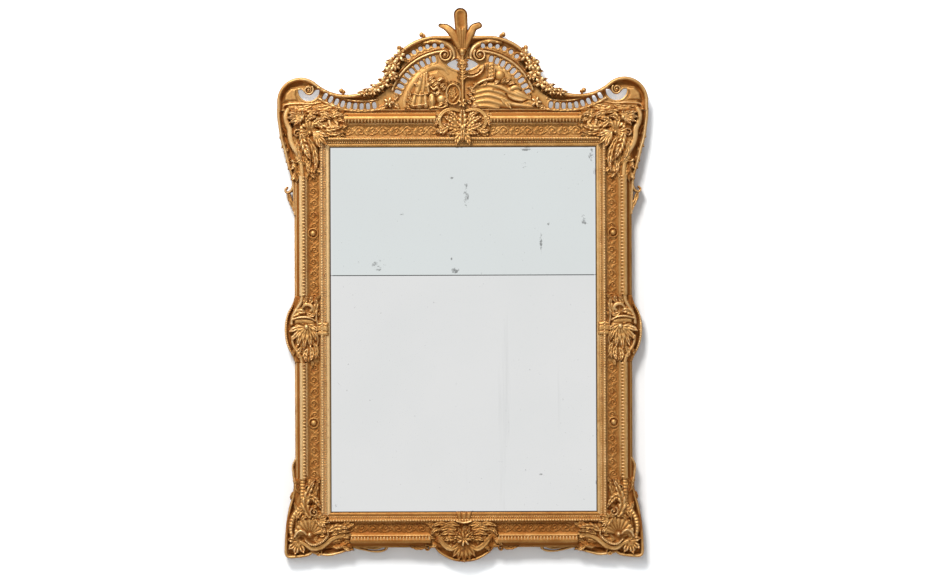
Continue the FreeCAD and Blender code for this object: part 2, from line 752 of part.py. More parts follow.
def boss():
    # a turned boss: a raised ring, a groove and a domed middle
    outer = size("boss_diameter") / 2
    rise = size("boss_rise")
    ring = 0.2 * outer
    base = outer - 2 * ring
    dome = (base ** 2 + rise ** 2) / (2 * rise)
    disc = Part.makeCylinder(outer - ring, ring / 2)
    edge = Part.makeTorus(outer - ring, ring)
    crown = Part.makeSphere(dome, Vector(0, 0, rise - dome))
    return carve(disc, [edge, crown], 0)


def frieze_bosses():
    turned = boss()
    across = num(f"{FRAME_HALF} - {BED_WIDTH} + Sizes.frieze_width / 2")
    # each boss sits a share of the way along its run, starting from the side cartouche
    upper_start, upper_stop = (num(end) for end in UPPER_RUN)
    lower_stop, lower_start = (num(end) for end in LOWER_RUN)
    share = size("boss_share")
    levels = (upper_start + share * (upper_stop - upper_start), lower_start + share * (lower_stop - lower_start))
    copies = []
    for x in (-across, across):
        for z in levels:
            copy = turned.copy()
            copy.translate(Vector(x, z, depth))
            copies.append(copy)
    stand("frieze_bosses", Part.makeCompound(copies), 0, 0)


frieze_bosses()

# Crest boards. The outline runs from the round shoulder through a valley to the hump, each arc
# tangent to the next. The valley's radius follows from its height and its two neighbours.
CREST_FRONT = "Sizes.carcass_depth"
CREST_RIM = "(Sizes.carcass_depth + Sizes.rim_rise)"


def valley_circle():
    lowest = size("valley_height")
    hump = (size("hump_x"), size("hump_z"), size("hump_radius"))
    shoulder = (num(SHOULDER_X), size("shoulder_z"), size("shoulder_radius"))

    def reach(circle, radius):
        return math.sqrt(max((circle[2] + radius) ** 2 - (lowest + radius - circle[1]) ** 2, 0))

    small, large = 1.0, 5000.0
    for step in range(80):
        radius = (small + large) / 2
        if reach(hump, radius) + reach(shoulder, radius) < shoulder[0] - hump[0]:
            small = radius
        else:
            large = radius
    return hump[0] + reach(hump, radius), lowest + radius, radius


valley_x, valley_z, valley_radius = valley_circle()


def touch_point(centre_a, radius_a, centre_b, radius_b):
    # where two circles that touch from outside meet
    way = centre_b - centre_a
    return centre_a + way * (radius_a / (radius_a + radius_b))


class CrestArcs:
    # the three circles of one half of the crest, at a distance inside the edge
    def __init__(self, sign, inset):
        self.hump = Vector(sign * size("hump_x"), size("hump_z"), 0)
        self.valley = Vector(sign * valley_x, valley_z, 0)
        self.shoulder = Vector(sign * num(SHOULDER_X), size("shoulder_z"), 0)
        self.hump_radius = size("hump_radius") - inset
        self.valley_radius = valley_radius + inset
        self.shoulder_radius = size("shoulder_radius") - inset
        self.hump_touch = touch_point(self.hump, self.hump_radius, self.valley, self.valley_radius)
        self.shoulder_touch = touch_point(self.shoulder, self.shoulder_radius,
                                          self.valley, self.valley_radius)

    def on_valley(self, x):
        across = x - self.valley.x
        return Vector(x, self.valley.y - math.sqrt(self.valley_radius ** 2 - across ** 2), 0)

    def valley_arc(self, start, stop):
        middle = (start.x + stop.x) / 2
        return Part.Arc(start, self.on_valley(middle), stop)


def crest_panel_face(inset):
    joint = size("wing_joint")
    right = CrestArcs(1, inset)
    left = CrestArcs(-1, inset)
    edges = []
    for arcs, order in ((right, 1), (left, -1)):
        shoulder_side = arcs.on_valley(order * joint)
        crown = arcs.hump + Vector(0, arcs.hump_radius, 0)
        turn = math.radians(45)
        flank = arcs.hump + Vector(order * math.sin(turn), math.cos(turn), 0) * arcs.hump_radius
        edges.append(Part.makeLine(Vector(order * joint, 0, 0), shoulder_side))
        edges.append(arcs.valley_arc(shoulder_side, arcs.hump_touch).toShape())
        edges.append(Part.Arc(arcs.hump_touch, flank, crown).toShape())
    top = size("hump_z") + size("hump_radius") - inset
    edges.append(Part.makeLine(Vector(-size("hump_x"), top, 0), Vector(size("hump_x"), top, 0)))
    edges.append(Part.makeLine(Vector(-joint, 0, 0), Vector(joint, 0, 0)))
    return Part.Face(Part.Wire(Part.__sortEdges__(edges)))


def crest_wing_face(inset):
    joint = size("wing_joint")
    arcs = CrestArcs(-1, inset)
    inner = arcs.on_valley(-joint)
    outer_x = arcs.shoulder.x - arcs.shoulder_radius
    turn = math.radians(135)
    flank = arcs.shoulder + Vector(math.cos(turn), math.sin(turn), 0) * arcs.shoulder_radius
    outer = Vector(outer_x, arcs.shoulder.y, 0)
    edges = [
        Part.makeLine(Vector(-joint, 0, 0), Vector(outer_x, 0, 0)),
        Part.makeLine(Vector(outer_x, 0, 0), outer),
        Part.Arc(outer, flank, arcs.shoulder_touch).toShape(),
        arcs.valley_arc(arcs.shoulder_touch, inner).toShape(),
        Part.makeLine(inner, Vector(-joint, 0, 0)),
    ]
    return Part.Face(Part.Wire(edges))


def slot_cutter(length):
    # a slot with round ends that points away from the middle of its row
    half = size("slot_width") / 2
    run = length / 2 - half
    face = outline_face((-run, -half), (run, -half), ((run + half, 0), (run, half)), (-run, half),
                        ((-run - half, 0), (-run, -half)))
    return slab(face, 0, num(CREST_RIM) + 1)


def slot_row(x, z, radius, first, step, count, length):
    cutters = []
    for index in range(int(count)):
        cutter = slot_cutter(length)
        cutter.translate(Vector(radius, 0, 0))
        cutter.rotate(Vector(), Vector(0, 0, 1), first + index * step)
        cutter.translate(Vector(x, z, 0))
        cutters.append(cutter)
    return cutters


def hump_slots():
    arcade_radius = size("hump_radius") + size("arcade_margin")
    rows = slot_row(-size("arcade_x"), size("arcade_z"), arcade_radius, size("arcade_first"),
                    size("arcade_step"), size("arcade_slots"), size("slot_length"))
    lantern_radius = size("hump_radius") - size("lantern_inset")
    rows += slot_row(-size("hump_x"), size("hump_z"), lantern_radius, size("lantern_first"),
                     size("lantern_step"), size("lantern_slots"), size("lantern_length"))
    return rows


def heart_opening():
    # the irregular opening beside the middle stem, under the volute
    x = size("volute_x")
    z = size("volute_z")
    roll_out = size("volute_radius")
    near = -0.2 * x
    far = -0.85 * x
    top = z - roll_out
    foot = z - 3.5 * roll_out
    shoulder = (0.55 * (near + far), top - 0.3 * roll_out)
    flank = (0.6 * far, foot + 0.6 * roll_out)
    face = outline_face((near, foot), (near, top), (shoulder, (far, (top + foot) / 2)), (flank, (near, foot)))
    return slab(face, 0, num(CREST_RIM) + 1)


def gallery_slots():
    return slot_row(-(valley_x - size("gallery_shift")), size("gallery_level") + size("gallery_radius"),
                    size("gallery_radius"), size("gallery_first"), size("gallery_step"),
                    size("gallery_slots"), size("slot_length"))


def crescent_opening():
    # the moon left between the shoulder's volute and the board below it
    outer = size("crescent_radius")
    hollow = size("crescent_hollow")
    moon = Part.makeCylinder(outer, num(CREST_RIM) + 1)
    moon = moon.cut(Part.makeCylinder(hollow, num(CREST_RIM) + 1, Vector(0, size("crescent_shift"), 0)))
    half_plane = box(-outer, outer, -outer, outer * 0.1, 0, num(CREST_RIM) + 1)
    moon = moon.common(half_plane)
    eye_x = size("shoulder_eye_x") - num(SHOULDER_X)
    moon.translate(Vector(eye_x, size("shoulder_eye_z") + size("crescent_shift"), 0))
    return moon


def screw_hole(x, z):
    return Part.makeCylinder(num(SCREW_HOLE), size("screw_depth"), Vector(x, z, size("crest_back")))


def dowel_hole(x):
    return Part.makeCylinder(size("dowel_diameter") / 2, size("dowel_depth"),
                             Vector(x, 0, num(DOWEL_LEVEL)), Vector(0, 1, 0))


def crest_board(face, field, cutters):
    board = slab(face, size("crest_back"), num(CREST_RIM))
    board = board.cut(slab(field, num(CREST_FRONT), num(CREST_RIM)))
    board = board.cut(cutters)
    if len(board.Solids) != 1:
        raise RuntimeError(f"a crest board falls into {len(board.Solids)} pieces")
    return board.Solids[0]


wing_dowels = (num(RAIL_DOWEL_X), num(SHOULDER_X))
batten_screw_z = (size("batten_rise") / 2, -size("batten_lap") / 2)


def crest_panel():
    cutters = hump_slots() + [heart_opening()]
    cutters += [mirrored(cutter) for cutter in cutters]
    for x in (-num(BATTEN_X), num(BATTEN_X)):
        cutters.append(screw_hole(x, batten_screw_z[0]))
    board = crest_board(crest_panel_face(0), crest_panel_face(rim_width), cutters)
    stand("crest_panel", board, 0, frame_top)


def crest_wings():
    cutters = gallery_slots() + [crescent_opening()]
    cutters += [dowel_hole(-x) for x in wing_dowels]
    board = crest_board(crest_wing_face(0), crest_wing_face(rim_width), cutters)
    stand("crest_wing_left", board, 0, frame_top)
    stand("crest_wing_right", mirrored(board), 0, frame_top)


crest_panel()
crest_wings()


# Carving planted on the crest boards
crest_front = num(CREST_FRONT)
crest_rim = num(CREST_RIM)


def volute(x, z, radius, tube):
    # a disc with a rolled edge and a round eye
    disc = Part.makeCylinder(radius, 0.6 * tube, Vector(x, z, crest_front))
    edge = Part.makeTorus(radius, tube, Vector(x, z, crest_front))
    eye = Part.makeSphere(0.5 * radius, Vector(x, z, crest_front))
    return carve(disc, [edge, eye], crest_front)


def volutes():
    radius = size("volute_radius")
    tube = size("volute_roll")
    stand_pair("crest_volute", volute(0, 0, radius, tube), size("volute_x"), frame_top + size("volute_z"))
    eye_x = num(SHOULDER_X) - size("shoulder_eye_x")
    eye_z = size("shoulder_eye_z") + size("crescent_shift")
    rolled = size("crescent_hollow") / 2
    stand_pair("shoulder_volute", volute(0, 0, rolled * 2 / 3, rolled / 3), eye_x, frame_top + eye_z)


def plume():
    # three feathers that spread and curl forward, their backs on the rim of the crest
    height = size("plume_height")
    half = size("plume_width") / 2
    blade = size("plume_width") * 0.36
    rise = size("rim_rise")
    middle = leaf(0, 0, height, blade, 1.4 * rise, crest_rim, 90, lift=2 * rise)
    side_length = 0.8 * height
    spread = math.degrees(math.asin((half - blade / 8) / side_length))
    headings = (90 + spread, 90 - spread)
    sides = [leaf(0, 0, side_length, 0.8 * blade, rise, crest_rim, heading, rise) for heading in headings]
    knot = Part.makeSphere(0.4 * blade, Vector(0, 0.12 * height, crest_rim))
    crown = size("hump_z") + size("hump_radius") - size("plume_foot")
    seat = box(-0.4 * blade, 0.4 * blade, crown - rim_width, crown, crest_rim, crest_rim + rise)
    stand("crest_plume", carve(middle, sides + [knot, seat], crest_rim), 0, frame_top + size("plume_foot"))


def flower(x, z, radius, level):
    # five round petals about a bud
    petals = []
    for index in range(5):
        turn = math.radians(90 + index * 72)
        centre = Vector(x + 0.55 * radius * math.cos(turn), z + 0.55 * radius * math.sin(turn), level)
        petals.append(Part.makeSphere(0.45 * radius, centre))
    bud = Part.makeCylinder(0.55 * radius, 0.6 * radius, Vector(x, z, level))
    return carve(bud, petals, level)


def swag_places():
    # flowers strung down the hump's flank and into the valley, on the crest's edge
    arcs = CrestArcs(-1, 0)
    first = 140.0
    touch = math.degrees(math.atan2(arcs.hump_touch.y - arcs.hump.y, arcs.hump_touch.x - arcs.hump.x))
    pitch = 1.5 * size("flower_radius")
    flank = math.radians((touch - first) % 360) * arcs.hump_radius
    places = []
    for index in range(int(size("swag_flowers"))):
        along = index * pitch
        if along < flank:
            turn = math.radians(first) + along / arcs.hump_radius
            places.append(arcs.hump + Vector(math.cos(turn), math.sin(turn), 0) * arcs.hump_radius)
        else:
            turn = math.radians(touch + 180) - (along - flank) / arcs.valley_radius
            places.append(arcs.valley + Vector(math.cos(turn), math.sin(turn), 0) * arcs.valley_radius)
    return places


def swags():
    blooms = [flower(place.x, place.y, size("flower_radius"), crest_rim) for place in swag_places()]
    chain = blooms[0].multiFuse(blooms[1:])
    if len(chain.Solids) != 1:
        raise RuntimeError("a swag comes apart")
    stand("crest_swag_left", chain, 0, frame_top)
    stand("crest_swag_right", mirrored(chain), 0, frame_top)


def shield():
    # an oval shield that leans against the staff in the middle of the crest
    width = size("shield_width")
    height = size("shield_height")
    staff = size("scroll_roll")
    oval = Part.Ellipse(Vector(-width / 2 + staff, size("shield_z"), 0), height / 2, width / 2)
    oval.rotate(Placement(oval.Center, Rotation(Vector(0, 0, 1), 90)))
    plate = slab(Part.Face(Part.Wire(oval.toShape())), crest_front, crest_front + staff)
    front_edges = [edge for edge in plate.Edges if edge.BoundBox.ZMin > crest_front + staff / 2]
    plate = plate.makeFillet(0.6 * staff, front_edges)
    foot = 2 * size("top_lift") + 1
    pole = Part.makeCylinder(staff, size("plume_foot") - foot, Vector(0, foot, crest_front), Vector(0, 1, 0))
    stand("crest_shield", carve(plate, [pole], crest_front), 0, frame_top)


def banners():
    length = size("banner_length")
    width = size("banner_width")
    rise = size("rim_rise")
    start = size("shield_width")
    level = size("shield_z")
    folds = [leaf(0, 0, length, width, rise, crest_front, heading) for heading in (-8, 12, 34)]
    drape = carve(folds[0], folds[1:], crest_front)
    stand("crest_banner_right", drape, start / 2, frame_top + level)
    stand("crest_banner_left", mirrored(drape), -start, frame_top + level)


volutes()
plume()
swags()
shield()
banners()


# Glass and the wooden back
def block(label, x, y, z, length, width, height):
    item = doc.addObject("Part::Box", label)
    for name, expression in (("Length", length), ("Width", width), ("Height", height)):
        item.setExpression(name, expression)
    for axis, expression in (("x", x), ("y", y), ("z", z)):
        item.setExpression(f"Placement.Base.{axis}", expression)
    return keep(item, label)


OPENING_BOTTOM = f"({SIGHT_BOTTOM} - Sizes.sight_overlap)"
SEAM_Z = f"({SIGHT_BOTTOM} + Sizes.seam_height)"
SHEET_WIDTH = f"({OPENING_WIDTH} - 2 * Sizes.plate_clearance)"
SHEET_TOP = f"({OPENING_BOTTOM} + {OPENING_HEIGHT} - Sizes.plate_clearance)"
BOARD_BACK = "Sizes.rebate_depth"
BOARD_HEIGHT = f"(({SHEET_TOP} - {OPENING_BOTTOM} - 2 * Sizes.board_gap) / 3)"

block("mirror_plate_lower", f"-{SHEET_WIDTH} / 2", "-Sizes.carcass_depth", OPENING_BOTTOM, SHEET_WIDTH,
      "Sizes.glass_thickness", f"{SEAM_Z} - Sizes.seam_gap / 2 - {OPENING_BOTTOM}")
block("mirror_plate_upper", f"-{SHEET_WIDTH} / 2", "-Sizes.carcass_depth", f"{SEAM_Z} + Sizes.seam_gap / 2",
      SHEET_WIDTH, "Sizes.glass_thickness", f"{SHEET_TOP} - {SEAM_Z} - Sizes.seam_gap / 2")
for index, name in enumerate(("lower", "middle", "upper")):
    block(f"backboard_{name}", f"-{SHEET_WIDTH} / 2", f"-{BOARD_BACK} - Sizes.backboard_thickness",
          f"{OPENING_BOTTOM} + {index} * ({BOARD_HEIGHT} + Sizes.board_gap)", SHEET_WIDTH,
          "Sizes.backboard_thickness", BOARD_HEIGHT)


def glazing_blocks():
    # chamfered blocks wedged between the frame, the glass and the backboards
    wall = num(f"{OPENING_WIDTH} / 2")
    length = size("glazing_block_length")
    glass_back = depth - size("glass_thickness")
    board_front = num(BOARD_BACK) + size("backboard_thickness")
    wide = size("glazing_block_width")
    tall = num(OPENING_HEIGHT)
    blocks = []
    for level in (0.15, 0.4, 0.6, 0.85):
        low = num(OPENING_BOTTOM) + level * tall - length / 2
        section = Part.makePolygon([Vector(-wall, low, glass_back), Vector(wide - wall, low, glass_back),
                                    Vector(wide / 2 - wall, low, board_front), Vector(-wall, low, board_front),
                                    Vector(-wall, low, glass_back)])
        wedge = Part.Face(section).extrude(Vector(0, length, 0))
        blocks += [wedge, mirrored(wedge)]
    stand("glazing_blocks", Part.makeCompound(blocks), 0, 0)


def backboard_ledges():
    margin = size("ledge_margin")
    wide = size("ledge_width")
    low = num(OPENING_BOTTOM) + margin
    high = num(SHEET_TOP) - margin
    back = num(BOARD_BACK) - size("ledge_thickness")
    ledges = []
    for centre in (-size("ledge_spacing") / 2, size("ledge_spacing") / 2):
        ledges.append(box(centre - wide / 2, centre + wide / 2, low, high, back, num(BOARD_BACK)))
    stand("backboard_ledges", Part.makeCompound(ledges), 0, 0)


def crest_battens():
    half = size("batten_width") / 2
    bars = []
    for x in (-num(BATTEN_X), num(BATTEN_X)):
        bar = box(x - half, x + half, -size("batten_lap"), size("batten_rise"), 0, size("crest_back"))
        places = [Vector(x, z, 0) for z in batten_screw_z]
        holes = [Part.makeCylinder(num(SCREW_HOLE), size("crest_back"), place) for place in places]
        bars.append(bar.cut(holes))
    stand("crest_battens", Part.makeCompound(bars), 0, frame_top)


def crest_dowels():
    reach = size("dowel_depth")
    radius = size("dowel_diameter") / 2 - size("joint_clearance") / 2
    pegs = []
    for x in wing_dowels:
        peg = Part.makeCylinder(radius, 2 * reach, Vector(x, -reach, num(DOWEL_LEVEL)), Vector(0, 1, 0))
        pegs += [peg, mirrored(peg)]
    stand("crest_dowels", Part.makeCompound(pegs), 0, frame_top)


glazing_blocks()
backboard_ledges()
crest_battens()
crest_dowels()

# Turn buttons, each on its own screw in the rebate, with the long end over the backboard
BUTTON_BACK = "(Sizes.rebate_depth - Sizes.button_clearance - Sizes.button_thickness)"
BUTTON_REACH_X = f"(Sizes.sight_width / 2 + {BUTTON_LINE})"
BUTTONS = {
    "left_upper": (0, f"-{BUTTON_REACH_X}", f"{SIGHT_MIDDLE} + Sizes.button_spacing / 2"),
    "left_lower": (0, f"-{BUTTON_REACH_X}", f"{SIGHT_MIDDLE} - Sizes.button_spacing / 2"),
    "right_upper": (180, BUTTON_REACH_X, f"{SIGHT_MIDDLE} + Sizes.button_spacing / 2"),
    "right_lower": (180, BUTTON_REACH_X, f"{SIGHT_MIDDLE} - Sizes.button_spacing / 2"),
    "top": (90, "0", f"{SIGHT_TOP} + {BUTTON_LINE}"),
    "bottom": (-90, "0", f"{SIGHT_BOTTOM} - {BUTTON_LINE}"),
}


def turn_button(name, angle, x, z):
    body = new_body(f"turn_button_{name}")
    half = "Sizes.button_width / 2"
    heel = f"-(Sizes.button_heel - {half})"
    toe = f"Sizes.button_length - {half}"
    outline = new_sketch(body, "XZ_Plane", BUTTON_BACK)
    add_outline(outline, [(heel, f"-{half}"), (toe, f"-{half}", 0.51), (toe, half), (heel, half, 0.51)])
    pad(body, outline, "Sizes.button_thickness")
    hole = new_sketch(body, "XZ_Plane", "Sizes.rebate_depth")
    add_circle(hole, "0", "0", SCREW_HOLE)
    pocket(body, hole)
    body.Placement = Placement(Vector(), Rotation(Vector(0, 1, 0), angle))
    body.setExpression("Placement.Base.x", x)
    body.setExpression("Placement.Base.z", z)


for name, (angle, x, z) in BUTTONS.items():
    turn_button(name, angle, x, z)

# Hangers: an iron strap with a rolled knuckle, and a ring whose straight side turns in it
HANGER_X = f"({FRAME_HALF} - Sizes.hanger_inset)"


def hanger_plate(side, sign):
    body = new_body(f"hanger_plate_{side}")
    half = "Sizes.strap_width / 2"
    toe = f"-(Sizes.strap_length - {half})"
    strap = new_sketch(body, "XZ_Plane")
    add_outline(strap, [(f"-{half}", toe, 0.51), (half, toe), (half, "0"), (f"-{half}", "0")])
    pad(body, strap, "Sizes.strap_thickness", backward=True)
    knuckle = new_sketch(body, "YZ_Plane")
    add_circle(knuckle, RING_LINE, "0", KNUCKLE_RADIUS)
    pad(body, knuckle, "Sizes.knuckle_length", side="Symmetric")
    bore = new_sketch(body, "YZ_Plane", "-Sizes.strap_width")
    add_circle(bore, RING_LINE, "0", "Sizes.ring_wire / 2 + Sizes.pin_clearance")
    pocket(body, bore, "2 * Sizes.strap_width", backward=True)
    holes = new_sketch(body, "XZ_Plane")
    for drop in strap_screw_drops():
        add_circle(holes, "0", f"-{drop}", SCREW_HOLE)
    pocket(body, holes, "Sizes.strap_thickness")
    body.setExpression("Placement.Base.x", f"{sign}{HANGER_X}")
    body.setExpression("Placement.Base.y", "-Sizes.hanger_recess")
    body.setExpression("Placement.Base.z", HANGER_Z)


def hanging_ring(side, sign):
    x = f"{sign}{HANGER_X}"
    pieces = []
    pin = doc.addObject("Part::Cylinder", "RingPin")
    pin.setExpression("Radius", "Sizes.ring_wire / 2")
    pin.setExpression("Height", "2 * Sizes.ring_radius")
    pin.Placement = Placement(Vector(), Rotation(Vector(0, 1, 0), 90))
    pieces.append((pin, f"{x} - Sizes.ring_radius"))
    bow = doc.addObject("Part::Torus", "RingBow")
    bow.setExpression("Radius1", "Sizes.ring_radius")
    bow.setExpression("Radius2", "Sizes.ring_wire / 2")
    bow.Angle3 = 180
    bow.Placement = Placement(Vector(), Rotation(Vector(1, 0, 0), -90))
    pieces.append((bow, x))
    for end in ("-", "+"):
        elbow = doc.addObject("Part::Sphere", "RingElbow")
        elbow.setExpression("Radius", "Sizes.ring_wire / 2")
        pieces.append((elbow, f"{x} {end} Sizes.ring_radius"))
    for piece, place_x in pieces:
        piece.setExpression("Placement.Base.x", place_x)
        piece.setExpression("Placement.Base.y", f"{RING_LINE} - Sizes.hanger_recess")
        piece.setExpression("Placement.Base.z", HANGER_Z)
    ring = doc.addObject("Part::MultiFuse", f"hanging_ring_{side}")
    ring.Shapes = [piece for piece, place_x in pieces]
    keep(ring, f"hanging_ring_{side}")


for side, sign in (("left", "-"), ("right", "")):
    hanger_plate(side, sign)
    hanging_ring(side, sign)


def screw(x, z, head_face, tip):
    # a round headed wood screw that points forward
    head = Part.makeCylinder(size("screw_head_diameter") / 2, size("screw_head_rise"),
                             Vector(x, z, head_face - size("screw_head_rise")))
    shank = Part.makeCylinder(size("screw_diameter") / 2, tip - head_face, Vector(x, z, head_face))
    return head.fuse(shank)


def wood_screws():
    screws = []
    button_face = num(BUTTON_BACK) - size("button_clearance")
    for angle, x, z in BUTTONS.values():
        screws.append(screw(num(x), num(z), button_face, size("rebate_depth") + size("screw_depth")))
    recess = size("hanger_recess")
    for x in (-num(HANGER_X), num(HANGER_X)):
        for drop in strap_screw_drops():
            z = num(HANGER_Z) - num(drop)
            screws.append(screw(x, z, recess - size("strap_thickness"), recess + size("screw_depth")))
    for x in (-num(BATTEN_X), num(BATTEN_X)):
        for z in batten_screw_z:
            screws.append(screw(x, frame_top + z, 0, size("crest_back") + size("screw_depth")))
    stand("wood_screws", Part.makeCompound(screws), 0, 0)


wood_screws()

# Check everything, then write one file for each piece
doc.recompute()
for item in doc.Objects:
    if "Invalid" in item.State or "Error" in item.State:
        raise RuntimeError(f"{item.Label} did not build: {item.State}")
for item in finished:
    shape = item.Shape
    if shape.isNull() or not shape.isValid() or not shape.Solids:
        raise RuntimeError(f"{item.Label} has no valid solid")

os.makedirs("parts", exist_ok=True)
for item in finished:
    item.Shape.exportStep(f"parts/{item.Label}.step")
print(f"{len(finished)} pieces written")
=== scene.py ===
import bpy
import math
import numpy as np
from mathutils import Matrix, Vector


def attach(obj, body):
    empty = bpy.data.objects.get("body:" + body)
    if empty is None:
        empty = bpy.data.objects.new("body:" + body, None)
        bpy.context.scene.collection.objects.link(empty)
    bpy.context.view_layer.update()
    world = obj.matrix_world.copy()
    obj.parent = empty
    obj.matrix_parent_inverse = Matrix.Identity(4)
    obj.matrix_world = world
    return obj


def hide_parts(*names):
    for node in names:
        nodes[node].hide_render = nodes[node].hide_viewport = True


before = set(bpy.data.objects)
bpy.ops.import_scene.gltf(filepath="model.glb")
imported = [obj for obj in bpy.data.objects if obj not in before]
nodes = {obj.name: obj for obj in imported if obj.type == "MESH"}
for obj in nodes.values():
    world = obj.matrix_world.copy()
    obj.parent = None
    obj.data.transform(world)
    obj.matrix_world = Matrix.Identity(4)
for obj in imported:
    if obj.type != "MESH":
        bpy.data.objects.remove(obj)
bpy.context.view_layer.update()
print("frame loaded:", len(nodes), "nodes")

# Lengths are in millimetres until a mesh is made. h is the distance forward of the wall, so y = -h.
frameSize = {
    "halfWidth": 655.0,       # outer edge of the frame
    "sightHalf": 518.0,       # edge of the glass that shows
    "sightLow": 68.5,
    "sightHigh": 1488.5,
    "top": 1625.5,
    "bottom": -68.5,
    "lip": 6.0,
    "outerMoulding": 42.0,
    "frieze": 50.0,
    "sightMoulding": 39.0,
    "carcassFront": 38.0,
}
sightMiddle = (frameSize["sightLow"] + frameSize["sightHigh"]) / 2
bedEdge = frameSize["sightMoulding"]                # across a member, from the sight edge outward
rollEdge = bedEdge + frameSize["frieze"]


# materials

def newMaterial(name):
    material = bpy.data.materials.new(name)
    material.use_nodes = True
    tree = material.node_tree
    return material, tree, tree.nodes["Principled BSDF"]


def addNode(tree, kind, **settings):
    node = tree.nodes.new(kind)
    for key, value in settings.items():
        setattr(node, key, value)
    return node


def setSockets(node, **values):
    for key, value in values.items():
        node.inputs[key].default_value = value
    return node


def ramp(tree, source, stops):
    node = addNode(tree, "ShaderNodeValToRGB")
    node.color_ramp.elements.remove(node.color_ramp.elements[1])
    for index, (place, color) in enumerate(stops):
        element = node.color_ramp.elements[0] if index == 0 else node.color_ramp.elements.new(place)
        element.position = place
        element.color = (*color, 1)
    tree.links.new(source, node.inputs["Fac"])
    return node.outputs["Color"]


def math2(tree, operation, first, second):
    node = addNode(tree, "ShaderNodeMath", operation=operation)
    for socket, value in zip(node.inputs, (first, second)):
        if isinstance(value, (int, float)):
            socket.default_value = value
        else:
            tree.links.new(value, socket)
    return node.outputs[0]


def noise(tree, coords, scale, detail=4.0, rough=0.55, stretch=(1, 1, 1)):
    mapping = addNode(tree, "ShaderNodeMapping")
    mapping.inputs["Scale"].default_value = stretch
    tree.links.new(coords, mapping.inputs["Vector"])
    node = setSockets(addNode(tree, "ShaderNodeTexNoise"), Scale=scale, Detail=detail, Roughness=rough)
    tree.links.new(mapping.outputs["Vector"], node.inputs["Vector"])
    return node.outputs["Fac"]


def mixColors(tree, factor, first, second, blend="MIX"):
    node = addNode(tree, "ShaderNodeMix", data_type="RGBA", blend_type=blend)
    if isinstance(factor, (int, float)):
        node.inputs[0].default_value = factor
    else:
        tree.links.new(factor, node.inputs[0])
    for socket, value in ((node.inputs[6], first), (node.inputs[7], second)):
        if isinstance(value, tuple):
            socket.default_value = (*value, 1)
        else:
            tree.links.new(value, socket)
    return node.outputs[2]


def addBump(tree, shader, height, strength, distance):
    bump = setSockets(addNode(tree, "ShaderNodeBump"), Strength=strength, Distance=distance)
    tree.links.new(height, bump.inputs["Height"])
    tree.links.new(bump.outputs["Normal"], shader.inputs["Normal"])


giltLook = {
    "deep": (0.285, 0.100, 0.014),      # dirt and bole in the hollows, with painted shade there
    "shade": (0.390, 0.186, 0.048),
    "leaf": (0.530, 0.297, 0.098),
    # the burnish stop also serves as painted highlight on the crowns
    "burnishAndHighlight": (0.765, 0.510, 0.240),
    "bole": (0.30, 0.085, 0.030),       # red clay where the leaf has worn
    "wood": (0.115, 0.070, 0.036),      # the unseen backs
    "metallic": 0.76,
}


def gilding(name, carved, level=0.52):
    material, tree, shader = newMaterial(name)
    coords = addNode(tree, "ShaderNodeTexCoord").outputs["Object"]
    blotch = noise(tree, coords, 16, 5)
    grain = noise(tree, coords, 140, 3, 0.6)
    if carved:
        tone = addNode(tree, "ShaderNodeAttribute", attribute_name="tone").outputs["Fac"]
    else:
        tone = math2(tree, "MULTIPLY", blotch, level * 2)
    uneven = math2(tree, "MULTIPLY", math2(tree, "SUBTRACT", blotch, 0.5), 0.46)
    fine = math2(tree, "MULTIPLY", math2(tree, "SUBTRACT", grain, 0.5), 0.34)
    depth = math2(tree, "ADD", math2(tree, "ADD", tone, uneven), fine)
    look = giltLook
    # the carved tone runs from painted shade and dirt in the hollows to painted highlight and burnish on the crowns
    color = ramp(tree, depth, [(0.10, look["deep"]), (0.34, look["shade"]), (0.56, look["leaf"]),
                               (0.86, look["burnishAndHighlight"])])
    wear = ramp(tree, noise(tree, coords, 46, 6, 0.68), [(0.56, (0, 0, 0)), (0.70, (0.55, 0.55, 0.55))])
    color = mixColors(tree, wear, color, look["bole"])
    # faces turned to the wall are bare wood
    bare = addNode(tree, "ShaderNodeAttribute", attribute_name="bare").outputs["Fac"]
    color = mixColors(tree, bare, color, ramp(tree, blotch, [(0.3, look["wood"]), (0.7, tuple(channel * 1.6 for channel in look["wood"]))]))
    tree.links.new(color, shader.inputs["Base Color"])
    rough = ramp(tree, depth, [(0.15, (0.66,) * 3), (0.55, (0.54,) * 3), (0.85, (0.45,) * 3)])
    tree.links.new(rough, shader.inputs["Roughness"])
    tree.links.new(math2(tree, "MULTIPLY", math2(tree, "SUBTRACT", 1.0, bare), look["metallic"]), shader.inputs["Metallic"])
    addBump(tree, shader, math2(tree, "ADD", grain, math2(tree, "MULTIPLY", blotch, 2.0)), 0.35, 0.0012)
    return material


def boards(name, dark, light, grainScale, stretch):
    material, tree, shader = newMaterial(name)
    coords = addNode(tree, "ShaderNodeTexCoord").outputs["Object"]
    lines = noise(tree, coords, grainScale, 7, 0.62, stretch)
    pores = noise(tree, coords, grainScale * 9, 3, 0.6, stretch)
    darkenArea = noise(tree, coords, 4.5, 4)
    mix = math2(tree, "ADD", math2(tree, "MULTIPLY", lines, 0.7), math2(tree, "MULTIPLY", pores, 0.3))
    color = ramp(tree, mix, [(0.32, dark), (0.52, tuple((a + b) / 2 for a, b in zip(dark, light))), (0.7, light)])
    dirt = ramp(tree, darkenArea, [(0.45, (0, 0, 0)), (0.75, (0.5, 0.5, 0.5))])
    color = mixColors(tree, dirt, color, tuple(channel * 0.45 for channel in dark))
    tree.links.new(color, shader.inputs["Base Color"])
    tree.links.new(ramp(tree, pores, [(0.3, (0.85,) * 3), (0.7, (0.66,) * 3)]), shader.inputs["Roughness"])
    addBump(tree, shader, mix, 0.4, 0.001)
    return material, tree, shader, color


